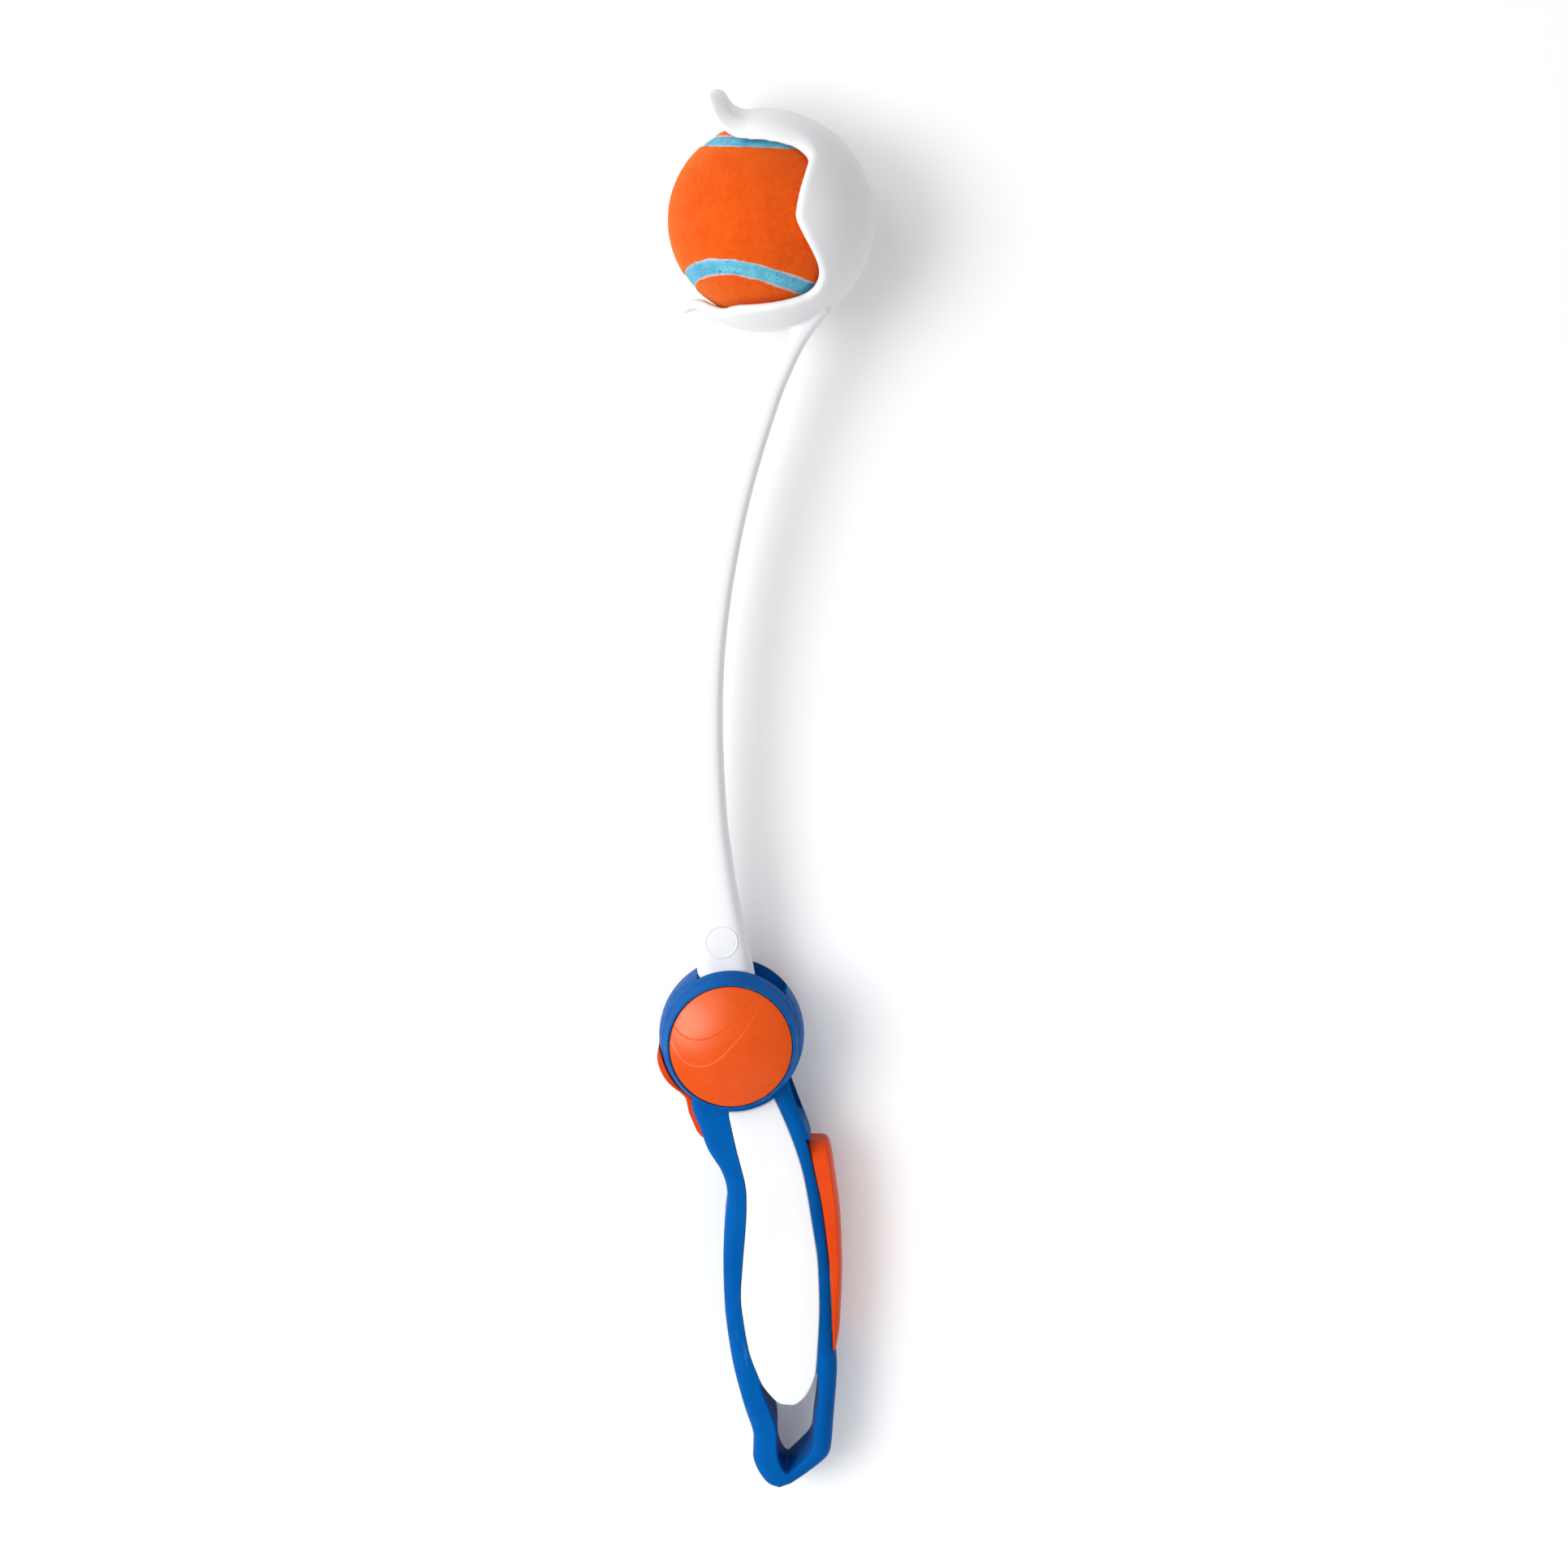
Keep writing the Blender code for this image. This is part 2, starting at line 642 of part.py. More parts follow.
def ball_seam():
    """The rubber strip in the groove between the two felts."""
    count = 2 * FELT_ROWS + 16
    rings = []
    for i in range(count):
        turn = 2 * math.pi * i / count
        left, right = (beside_seam(turn, side * SEAM_W / 2) for side in (-1, 1))
        high = BALL_R - SEAM_SINK
        low = BALL_R - FELT_T
        rings.append([left * low, left * high, right * high, right * low])
    obj = loft("ball_seam", rings, capped=False)
    obj.data.transform(ball_turn())
    return obj


def ball_core(name, side):
    outer = BALL_R - FELT_T - 3 * GAP
    inner = outer - CORE_T
    profile = [(outer * math.cos(t), outer * math.sin(t)) for t in np.linspace(0, math.pi / 2, 7)]
    profile += [(inner * math.cos(t), inner * math.sin(t)) for t in np.linspace(math.pi / 2, 0, 5)]
    profile = [(r, z + GAP / 2) for r, z in profile]
    obj = turned(name, profile, 24, shut=True)
    half = Matrix.Rotation(math.radians(90 * side), 4, "Y")
    obj.data.transform(Matrix.Translation(BALL_CENTRE) @ half)
    return obj


def crown_r(height):
    """The hub's radius at a height: it swells towards its middle."""
    return HUB_R - (HUB_R - HUB_EDGE_R) * (height / HUB_EDGE_Z) ** 2


def pivot_barrel():
    """The barrel between the cheeks, with the arm's pocket, the eye's slot and the tooth's groove."""
    recess = BARREL_HALF - THRUST_T - GAP
    crown = [(crown_r(z), z) for z in np.linspace(-BARREL_HALF, BARREL_HALF, 5)]
    lower = [(AXLE_R + GAP, -recess), (THRUST_R + GAP, -recess), (THRUST_R + GAP, -BARREL_HALF)]
    upper = [(THRUST_R + GAP, BARREL_HALF), (THRUST_R + GAP, recess), (AXLE_R + GAP, recess)]
    barrel = turned("pivot_barrel", lower + crown + upper, DRUM_SIDES)
    left = ARM_BACK[0][0] - ARM_ROOT_T - GAP
    right = POCKET_RIGHT + POCKET_SLANT
    top = HUB_R + OVERRUN
    slant_y = ARM_ROOT_FLOOR + 2 * POCKET_SLANT
    pocket = [(left, top), (left, ARM_ROOT_FLOOR), (POCKET_RIGHT, ARM_ROOT_FLOOR), (right, slant_y), (right, top)]
    slot_r = EYE_R + GAP
    slot = [(slot_r, ARM_ROOT_FLOOR + OVERRUN), (-slot_r, ARM_ROOT_FLOOR + OVERRUN)] + arc(180, 360, slot_r, 13)
    slot_half = EYE_W / 2 + GAP
    groove_half = TOOTH_W / 2 + GAP
    groove_r = HUB_R - TOOTH_DROP - GAP
    first = TOOTH_ANGLE - 2 * TOOTH_SPREAD
    last = TOOTH_ANGLE + FOLD_MAX + 2 * TOOTH_SPREAD
    outside = HUB_R + OVERRUN
    cut(
        barrel,
        prism("pocket", pocket, -HUB_R, HUB_R),
        prism("slot", slot, -slot_half, slot_half),
        prism("groove", sector(first, last, groove_r, outside, 24), -groove_half, groove_half),
    )
    for middle in (TOOTH_ANGLE, TOOTH_ANGLE + FOLD_MAX):
        ends = (middle - 1.4 * TOOTH_SPREAD, middle + 1.4 * TOOTH_SPREAD)
        notch = sector(*ends, groove_r - NOTCH_DROP, outside, 4)
        cut(barrel, prism("notch", notch, -groove_half, groove_half))
    return barrel


def sector(start, end, inner, outer, count):
    return arc(start, end, outer, count) + arc(end, start, inner, count)


def cheek(bezel_z):
    """A disc beside the barrel with a bezel round the cap's seat."""
    ledge = bezel_z - CAP_SEAT
    seat_r = BEZEL_LIP_R - BEZEL_LIP
    step_z = HUB_EDGE_Z - BEZEL_STEP
    low = CHEEK_Z - GAP
    profile = [
        (AXLE_R + GAP, low),
        (crown_r(low), low),
        (crown_r(step_z), step_z),
        (HUB_EDGE_R, HUB_EDGE_Z),
        (BEZEL_LIP_R + BEZEL_STEP, bezel_z - 2 * BEZEL_STEP),
        (BEZEL_LIP_R, bezel_z),
        (seat_r, bezel_z),
        (seat_r, ledge),
        (HUB_WELL_R, ledge),
        (HUB_WELL_R, WEB_Z),
        (AXLE_R + GAP, WEB_Z),
    ]
    return turned("cheek", profile, DRUM_SIDES)


def lever_room():
    """The flank recess that the lever lies and rocks in."""
    top, bottom = (along(s) for s in LEVER_ROOM_SHARES)
    outside = -HANDLE_BACK
    ear_r = LEVER_EAR_R + 2 * GAP
    line = [np.array((left_x(y) + LEVER_ROOM, y)) for y in np.linspace(bottom, LEVER_PIVOT[1] - ear_r, 4)]
    ear = arc(-60, 60, ear_r, 5, LEVER_PIVOT)
    return [(outside, top), (outside, bottom)] + line + ear + [(LEVER_PIVOT[0], top)]


def handle_shell(name, bezel_z, front):
    """Half of the handle, drawn as the front half; the rear one is mirrored."""
    outline = LEFT_CURVE + RIGHT_CURVE
    shell = rounded_block(name, outline, GAP / 2, HANDLE_HALF, HANDLE_ROUND)
    join(shell, cheek(bezel_z))
    loop = smooth(scaled(LOOP_SHARES), CURVE_STEPS, closed=True)
    wide = offset(loop, LOOP_CHAMFER + GAP)
    loop_cut = stack("loop", [(loop, -GAP), (loop, HANDLE_HALF - LOOP_CHAMFER), (wide, HANDLE_HALF + GAP)])
    cut(
        shell,
        rod("chamber", CHAMBER_R, -OVERRUN, CHEEK_Z, sides=DRUM_SIDES),
        prism("neck_room", swept_arm_outline(), -OVERRUN, CHEEK_Z),
        prism("recess", panel_outline(GAP), RECESS_Z, HANDLE_HALF + OVERRUN),
        loop_cut,
    )
    top, bottom = (along(s) for s in CAVITY_SHARES)
    heights = np.linspace(top, bottom, 9)
    left = [(left_x(y) + HANDLE_WALL, y) for y in heights]
    right = [(right_x(y) - HANDLE_WALL, y) for y in reversed(heights)]
    cavity = prism("cavity", left + right, -OVERRUN, ROOF_Z)
    for x, y in SCREW_PLACES:
        cut(cavity, rod("boss", BOSS_R, -2 * OVERRUN, HANDLE_D, (x, y), SCREW_SIDES))
    cut(shell, cavity)
    for place in SCREW_PLACES:
        if front:
            end = SCREW_GRIP - (RECESS_Z - GAP - SCREW_HEAD_T) + GAP
            cut(shell, rod("pilot", SCREW_R + GAP, -OVERRUN, end, place, SCREW_SIDES))
            continue
        under = RECESS_Z - SCREW_HEAD_T - 2 * GAP
        cut(
            shell,
            rod("screw_hole", SCREW_R + GAP, -OVERRUN, HANDLE_D, place, SCREW_SIDES),
            rod("counterbore", SCREW_HEAD_R + GAP, under, HANDLE_D, place, SCREW_SIDES),
        )
    spring_y = along(SPRING_SHARE)
    floor = left_x(spring_y) + GAP + LEVER_LIFT + SPRING_L + GAP
    pocket = rod("spring_pocket", SPRING_R + 2 * GAP, -SPRING_L, 0)
    bead_half = CLIP_BEAD_W / 2 + GAP
    slot_half = CLIP_NECK_T / 2 + CLIP_SWING_ROOM
    pivot = CLIP_PIVOT
    neck_room = [
        pivot + (0, -slot_half), pivot + (HANDLE_BACK, -slot_half),
        pivot + (HANDLE_BACK, slot_half), pivot + (0, slot_half),
    ]
    cut(
        shell,
        prism("lever_room", lever_room(), -OVERRUN, LEVER_W / 2 + GAP),
        rod("pin_hole", LEVER_PIN_R + GAP, -OVERRUN, LEVER_PIN_L / 2 + GAP, LEVER_PIVOT, SCREW_SIDES),
        lie_along_x(pocket, (floor, spring_y, 0)),
        rod("bead_socket", CLIP_BEAD_R + GAP, -OVERRUN, bead_half, pivot),
        prism("bead_slot", neck_room, -OVERRUN, bead_half),
    )
    return shell if front else mirrored(shell)


def panel(name, front):
    outline = panel_outline(0)
    top = HANDLE_HALF + PANEL_PROUD
    obj = rounded_block(name, outline, top - PANEL_T, top, PANEL_ROUND, 2)
    return obj if front else mirrored(obj)


def cap(name, bezel_z, rise, front):
    """A domed cap, hollow under its crown, on the bezel's ledge."""
    radius = BEZEL_LIP_R - BEZEL_LIP - GAP
    base = bezel_z - CAP_SEAT + GAP
    crown = (radius**2 + rise**2) / (2 * rise)
    centre = bezel_z + rise - crown
    outer = []
    for r in np.linspace(0, radius, 7):
        outer.append((r, centre + math.sqrt(crown**2 - r**2)))
    inner_r = radius - CAP_T
    inner_crown = crown - CAP_T
    inner_centre = base - math.sqrt(inner_crown**2 - inner_r**2)
    inner = []
    for r in np.linspace(inner_r, 0, 4)[1:]:
        inner.append((r, inner_centre + math.sqrt(inner_crown**2 - r**2)))
    obj = turned(name, outer + [(radius, base), (inner_r, base)] + inner, DRUM_SIDES, shut=False)
    return obj if front else mirrored(obj)


def lock_lever():
    """The rocker: an arm round the barrel with the tooth, the ear on its pin, and the thumb's arm."""
    low_r = CHAMBER_R
    outer = [polar(a, low_r + s * LEVER_T) for a, s in LEVER_ARC_SHARES]
    outer += [np.array((left_x(along(y)) - s * LEVER_T, along(y))) for y, s in LEVER_SHARES]
    end = along(LEVER_SHARES[-1][0])
    inner = [np.array((left_x(y) + GAP / 2, y)) for y in (end, LEVER_PIVOT[1] - LEVER_EAR_R)]
    ear = arc(-70, 70, LEVER_EAR_R, 6, LEVER_PIVOT)
    angles = [a for a, _ in LEVER_ARC_SHARES]
    grip = arc(angles[-1] + 4, angles[0], low_r, 8)
    half = LEVER_W / 2
    lever = prism("lock_lever", outer + inner + ear + grip, -half, half)
    ends = (TOOTH_ANGLE - TOOTH_SPREAD, TOOTH_ANGLE + TOOTH_SPREAD)
    tooth = sector(*ends, HUB_R - TOOTH_DROP, low_r + LEVER_T / 2, 3)
    join(lever, prism("tooth", tooth, -TOOTH_W / 2, TOOTH_W / 2))
    return cut(lever, rod("ear_bore", LEVER_PIN_R + GAP, -LEVER_W, LEVER_W, LEVER_PIVOT, SCREW_SIDES))


def lever_spring():
    """A small compression spring between the thumb's arm and the handle, along X."""
    y = along(SPRING_SHARE)
    start = left_x(y) + GAP + LEVER_LIFT
    coil = SPRING_R - SPRING_WIRE_R
    run = SPRING_L - 2 * SPRING_WIRE_R
    count = SPRING_TURNS * SPRING_TURN_POINTS
    curve = bpy.data.curves.new("lever_spring", "CURVE")
    curve.dimensions = "3D"
    line = curve.splines.new("POLY")
    line.points.add(count)
    for i in range(count + 1):
        turn = 2 * math.pi * i / SPRING_TURN_POINTS
        x = start + SPRING_WIRE_R + run * i / count
        line.points[i].co = (x, y + coil * math.cos(turn), coil * math.sin(turn), 1)
    curve.bevel_depth = SPRING_WIRE_R
    curve.bevel_resolution = 0
    curve.use_fill_caps = True
    guide = bpy.data.objects.new("spring_guide", curve)
    bpy.context.scene.collection.objects.link(guide)
    graph = bpy.context.evaluated_depsgraph_get()
    bm = bmesh.new()
    bm.from_mesh(bpy.data.meshes.new_from_object(guide.evaluated_get(graph)))
    bpy.data.objects.remove(guide)
    return made("lever_spring", bm)


def clip_half(y):
    """Half the clip's width at the height y: its free end is rounded."""
    down = min(along(CLIP_SHARES[0][0]) - y, CLIP_END_R)
    return CLIP_W / 2 - CLIP_END_R + math.sqrt(CLIP_END_R**2 - (CLIP_END_R - down) ** 2)


def belt_clip():
    """A crowned leaf along the handle's back, hollow at its free end, with a bead that snaps into the shells."""
    rings = []
    for place, share in CLIP_SHARES[:6] + tuple(smooth(CLIP_SHARES[6:], CURVE_STEPS)):
        y = along(place)
        half = clip_half(y)
        inner = right_x(y) + GAP
        thick = share * CLIP_T
        crown = min(CLIP_CROWN, 0.6 * thick)
        ring = []
        flat = min(HANDLE_HALF - HANDLE_ROUND, 0.7 * half)
        levels = [half, (half + flat) / 2, flat]
        levels += [-z for z in reversed(levels)]
        for z in reversed(levels):
            ring.append((inner - inset_at(abs(z)), y, z))
        section = [(w, c) for w, c in reversed(CLIP_SECTION_SHARES)]
        section += [(-w, c) for w, c in CLIP_SECTION_SHARES[1:]]
        for w, c in section:
            ring.append((inner + thick - c * crown, y, w * half))
        rings.append(ring)
    clip = loft("belt_clip", rings)
    top, bottom = (along(s) for s in CLIP_POCKET_SHARES)
    heights = np.linspace(top, bottom, 8)
    table = sorted((along(p), s * CLIP_T) for p, s in CLIP_SHARES)
    deep = []
    for y in heights:
        thick = float(np.interp(y, [t[0] for t in table], [t[1] for t in table]))
        deep.append((right_x(y) + GAP + thick - CLIP_SKIN, y))
    mouth = [(right_x(y) - OVERRUN, y) for y in reversed(heights)]
    room = CLIP_W / 2 - CLIP_SKIN
    cut(clip, prism("clip_pocket", deep + mouth, -room, room))
    pivot = CLIP_PIVOT
    reach = right_x(pivot[1]) + GAP + CLIP_T * CLIP_SHARES[-2][1] / 2 - pivot[0]
    neck_half = CLIP_NECK_T / 2
    neck = [
        pivot + (0, -neck_half), pivot + (reach, -neck_half),
        pivot + (reach, neck_half), pivot + (0, neck_half),
    ]
    bead_half = CLIP_BEAD_W / 2
    foot = prism("foot", neck, -bead_half, bead_half)
    join(foot, rod("bead", CLIP_BEAD_R, -bead_half, bead_half, pivot))
    return join(clip, foot)


def fold_axle():
    """A shoulder bolt: head at the rear, thread at the front."""
    under_head = WEB_Z + GAP
    head = under_head + AXLE_HEAD_T
    shoulder = WEB_Z
    end = WEB_Z + 2 * GAP + SPRING_WASHER_T + GAP + NUT_T + THREAD_SHOWN
    profile = [
        (0, -head), (AXLE_HEAD_R * 0.9, -head), (AXLE_HEAD_R, -head + AXLE_HEAD_T / 4),
        (AXLE_HEAD_R, -under_head), (AXLE_R, -under_head), (AXLE_R, shoulder),
        (AXLE_THREAD_R, shoulder), (AXLE_THREAD_R, end), (0, end),
    ]
    return turned("fold_axle", profile, BORE_SIDES, shut=False)


def ring(name, inner, outer, low, high, sides=BORE_SIDES):
    return turned(name, [(inner, low), (outer, low), (outer, high), (inner, high)], sides)


def fold_nut():
    low = WEB_Z + 2 * GAP + SPRING_WASHER_T
    nut = rod("fold_nut", NUT_R, low, low + NUT_T, sides=6)
    return cut(nut, rod("thread", AXLE_THREAD_R + GAP, 0, HANDLE_D))


def handle_screw(name, place):
    """A pan-head screw from the rear, its point in the front shell's boss."""
    head = RECESS_Z - GAP
    under = head - SCREW_HEAD_T
    tip = SCREW_GRIP - under
    profile = [
        (0, -head), (SCREW_HEAD_R * 0.7, -head), (SCREW_HEAD_R, -head + SCREW_HEAD_T / 2),
        (SCREW_HEAD_R, -under), (SCREW_R, -under), (SCREW_R, tip - SCREW_R), (0, tip),
    ]
    return turned(name, profile, SCREW_SIDES, place, shut=False)


def material(name, colour, roughness, metallic=0.0):
    found = bpy.data.materials.get(name)
    if found:
        return found
    made_one = bpy.data.materials.new(name)
    made_one.use_nodes = True
    shader = made_one.node_tree.nodes["Principled BSDF"]
    shader.inputs["Base Color"].default_value = colour
    shader.inputs["Roughness"].default_value = roughness
    shader.inputs["Metallic"].default_value = metallic
    made_one.diffuse_color = colour
    return made_one


def finish(obj, look, parent, pivot=(0, 0, 0)):
    """Gives a piece its look, its origin on its joint, and its parent."""
    obj.data.materials.clear()
    obj.data.materials.append(look)
    obj.data.shade_smooth()
    obj.data.set_sharp_from_angle(angle=math.radians(35))
    pivot = Vector(pivot)
    obj.data.transform(Matrix.Translation(-pivot))
    obj.location = pivot - parent.location
    obj.parent = parent
    return obj


def axis_empty(name, place, parent=None):
    empty = bpy.data.objects.new(name, None)
    bpy.context.scene.collection.objects.link(empty)
    empty.location = place
    empty.parent = parent
    return empty


def main():
    for obj in list(bpy.data.objects):
        bpy.data.objects.remove(obj)
    white = material("white_plastic", WHITE, 0.45)
    blue = material("blue_plastic", BLUE, 0.42)
    orange = material("orange_plastic", ORANGE, 0.38)
    orange_felt = material("orange_felt", FELT, 0.95)
    seam = material("seam_rubber", SEAM, 0.80)
    rubber = material("core_rubber", RUBBER, 0.85)
    steel = material("steel", STEEL, 0.35, 1.0)
    nylon = material("nylon", NYLON, 0.50)

    frame = axis_empty("object_frame", (0, 0, 0))
    fold = axis_empty("fold_axis", (0, 0, 0), frame)
    lever = axis_empty("lever_axis", (*LEVER_PIVOT, 0), frame)
    clip = axis_empty("clip_axis", (*CLIP_PIVOT, 0), frame)
    ball = axis_empty("ball_centre", BALL_CENTRE, fold)

    finish(handle_shell("handle_front_shell", FRONT_BEZEL_Z, True), blue, frame)
    finish(handle_shell("handle_rear_shell", REAR_BEZEL_Z, False), blue, frame)
    finish(panel("front_panel", True), white, frame)
    finish(panel("rear_panel", False), white, frame)
    finish(cap("front_cap", FRONT_BEZEL_Z, FRONT_DOME_RISE, True), orange, frame)
    finish(cap("rear_cap", REAR_BEZEL_Z, REAR_DOME_RISE, False), orange, frame)
    finish(fold_axle(), steel, frame)
    finish(fold_nut(), steel, frame)
    low = WEB_Z + GAP
    finish(ring("spring_washer", AXLE_R + GAP, SPRING_WASHER_R, low, low + SPRING_WASHER_T), steel, frame)
    for number, place in enumerate(SCREW_PLACES, 1):
        finish(handle_screw(f"handle_screw_{number}", place), steel, frame)

    finish(throwing_arm(), white, fold)
    finish(pivot_barrel(), blue, fold)
    for name, low in (
        ("thrust_washer_front", BARREL_HALF - THRUST_T),
        ("thrust_washer_rear", -BARREL_HALF),
    ):
        finish(ring(name, AXLE_R + GAP, THRUST_R, low, low + THRUST_T), nylon, fold)

    finish(felt("ball_felt_a", 0), orange_felt, ball, BALL_CENTRE)
    finish(felt("ball_felt_b", 1), orange_felt, ball, BALL_CENTRE)
    finish(ball_seam(), seam, ball, BALL_CENTRE)
    finish(ball_core("ball_core_left", -1), rubber, ball, BALL_CENTRE)
    finish(ball_core("ball_core_right", 1), rubber, ball, BALL_CENTRE)

    finish(lock_lever(), orange, lever, (*LEVER_PIVOT, 0))
    pin = rod("lever_pin", LEVER_PIN_R, -LEVER_PIN_L / 2, LEVER_PIN_L / 2, LEVER_PIVOT, SCREW_SIDES)
    finish(pin, steel, frame)
    finish(lever_spring(), steel, frame)
    finish(belt_clip(), orange, clip, (*CLIP_PIVOT, 0))

    bpy.context.view_layer.update()
    corners = []
    for obj in bpy.data.objects:
        if obj.type == "MESH":
            corners += [obj.matrix_world @ v.co for v in obj.data.vertices]
    corners = np.array(corners)
    low, high = corners.min(0), corners.max(0)
    frame.location = (-(low[0] + high[0]) / 2, -(low[1] + high[1]) / 2, -low[2])
    bpy.context.view_layer.update()
    for empty in (fold, lever, clip, ball):
        print(empty.name, [round(c, 6) for c in empty.matrix_world.translation])
    print("size", [round(c, 4) for c in high - low])


main()
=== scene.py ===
"""The looks of the folding dog ball thrower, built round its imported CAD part.

The pieces are drawn in metres round the fold axis and then moved to where the part has that axis.
"""

import json
import math

import bmesh
import bpy
import numpy as np
from mathutils import Matrix, Vector, noise
from mathutils.bvhtree import BVHTree
from mathutils.geometry import delaunay_2d_cdt


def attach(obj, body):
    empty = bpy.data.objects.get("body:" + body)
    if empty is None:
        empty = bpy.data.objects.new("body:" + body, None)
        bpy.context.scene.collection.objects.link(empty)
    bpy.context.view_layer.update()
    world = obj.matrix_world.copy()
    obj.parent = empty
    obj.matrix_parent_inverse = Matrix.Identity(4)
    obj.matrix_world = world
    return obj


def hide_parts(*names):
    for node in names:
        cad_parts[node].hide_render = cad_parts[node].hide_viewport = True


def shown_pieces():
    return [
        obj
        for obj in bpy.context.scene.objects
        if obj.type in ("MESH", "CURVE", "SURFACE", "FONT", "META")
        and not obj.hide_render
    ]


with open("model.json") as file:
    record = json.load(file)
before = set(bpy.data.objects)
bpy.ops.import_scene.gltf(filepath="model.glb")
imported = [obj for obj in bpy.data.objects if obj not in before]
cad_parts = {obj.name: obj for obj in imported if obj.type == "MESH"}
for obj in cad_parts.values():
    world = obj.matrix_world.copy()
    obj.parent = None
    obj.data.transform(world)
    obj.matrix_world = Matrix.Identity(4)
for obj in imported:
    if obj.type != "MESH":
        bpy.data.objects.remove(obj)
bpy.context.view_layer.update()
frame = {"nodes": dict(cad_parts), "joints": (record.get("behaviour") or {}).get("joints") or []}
PLACES = {joint["name"]: Vector(joint["pos_m"]) for joint in frame["joints"]}
HUB = PLACES["arm_fold"]
BALL_CENTRE = PLACES["ball_roll"] - HUB

# Clearances, and the limits of what is drawn
GAP = 0.0003
INLAY_GAP = 0.00008
RUN_GAP = 0.0004
OVERRUN = 0.004
WELD = 0.0001
MITRE_LIMIT = 2
MITRE_LEAST = 0.2
ROOM_LEAST = 0.1
ROOM_TOUCH = 0.93
ROOM_KEPT = 0.92

# Ball
BALL_R = 0.0320
FELT_T = 0.0022
FELT_EDGE_R = 0.0007
FELT_EDGE_DROP = 0.6
FELT_NAP = 0.00007
FELT_NAP_WAVES = ((60, 0.6), (170, 0.5), (14, 1))
SEAM_W = 0.0058
SEAM_UNDER = 0.0008
SEAM_SINK = 0.00045
SEAM_HOLLOW = 0.0003
SEAM_LUMP = 0.00012
SEAM_LUMP_WAVES = ((26, 1), (70, 0.8), (150, 0.5))
SEAM_BORDER = 0.0006
EDGE_WANDER = 0.00040
SEAM_WAVE_SHARE = 0.174
SEAM_TURN = (-0.946, 2.620, -0.484)

# Cup
CUP_GAP = 0.0011
CUP_WALL = 0.0034
TAB_START = 100
TAB_BEND_R = 0.0080
TAB_TURN = 75
TAB_FILLET = 0.0013
TAB_FILLET_RISE = 1.5
TAB_SWELL = 0.0004
LIP_START = 125
LIP_BEND_R = 0.0050
LIP_TURN = 55

# Arm
ARM_SPAN = 0.2252
ARM_ROOT_BACK = 0.0081
ARM_ROOT_SUNK = 0.0041
ARM_PLAY = 0.0002
STRAP_END_ANGLE = 54
ARM_ROOT_T = 0.0196
ARM_ROOT_FLOOR = 0.0112
ARM_FLARE = 0.30
ARM_FLARE_L = 0.014
ARM_SQUARE = 0.5
MOULDING_VOXEL = 0.0006
MOULDING_SMOOTHING = 7
MOULDING_SOFTNESS = 0.5
MARK_PLACE = (-0.0033, 0.0338)
MARK_R = 0.0054
MARK_RIDGE = 0.00022
MARK_RIDGE_W = 0.00045
MARK_SECTION = ((-1, -1), (-0.6, 0.7), (0, 1), (0.6, 0.7), (1, -1))

# Hub
HUB_R = 0.0249
HUB_EDGE_DRAW = 0.0014
HUB_EDGE_PROUD = 0.0005
HUB_CHEEK_T = 0.0030
HUB_BEVEL = 0.0003
HUB_RIM_STEPS = ((0.00012, -0.00008), (-0.0001, 0.00012))
BARREL_LEVELS = (-1, -0.97, -0.8, -0.6, -0.4, -0.2, 0, 0.2, 0.4, 0.6, 0.8, 0.97, 1)
WEB_T = 0.0034
BEZEL_DRAW = 0.0019
BEZEL_LIP = 0.0006
BEZEL_ROUND = 0.0005
BEZEL_PROUD = 0.0002
BEZEL_BEVEL = 0.0001
FRONT_BEZEL_PROUD = 0.0075
REAR_BEZEL_PROUD = 0.0047
FRONT_DOME_RISE = 0.0048
REAR_DOME_RISE = 0.0030
CAP_SEAT = 0.0014
CAP_ROUND = 0.0005
CAP_RIM_SHARES = ((0.25, 0.15), (0.4, 0.5), (0.4, None))
GROOVE = 0.00010
GROOVE_SLOPE = 0.00042
HUB_WELL_R = 0.0170
AXLE_R = 0.0040
THRUST_R = 0.0090
THRUST_T = 0.0010
EYE_R = 0.0080
EYE_W = 0.0100
POCKET_RIGHT = 0.0164
POCKET_END = 45
POCKET_SLANT = 0.0032
FOLD_MAX = 130
FOLD_MARGIN = 3
TOOTH_ANGLE = 212
TOOTH_SPREAD = 3
TOOTH_W = 0.0060
TOOTH_DROP = 0.0013
NOTCH_DROP = 0.0014
NOTCH_SPREAD = 1.4

# Handle
HANDLE_REACH = 0.1601
HANDLE_PAST_HUB = 0.0115
HANDLE_D = 0.0250
HANDLE_ROUND = 0.0040
BACK_ROUND = 0.0050
HANDLE_WALL = 0.0032
PARTING_BEVEL = 0.00025
LOOP_ROUND = 0.0011
LOOP_ROUND_TURNS = (0, 20, 40, 60, 75)
LOOP_MOUTH = 1.6
PANEL_T = 0.0018
PANEL_PROUD = 0.0004
PANEL_ROUND = 0.0008
PANEL_CROWN = 0.00035
PANEL_CROWN_RUN = 0.0055
PANEL_CORNER = 0.0012
PANEL_HUB_GAP = 0.0004
PANEL_GRID = 0.0016
PANEL_GRID_CLEAR = 0.7
ROOF_T = 0.0023
SCREW_R = 0.0015
SCREW_HEAD_R = 0.0028
SCREW_HEAD_T = 0.0015
SCREW_GRIP = 0.0165
BOSS_R = 0.0040

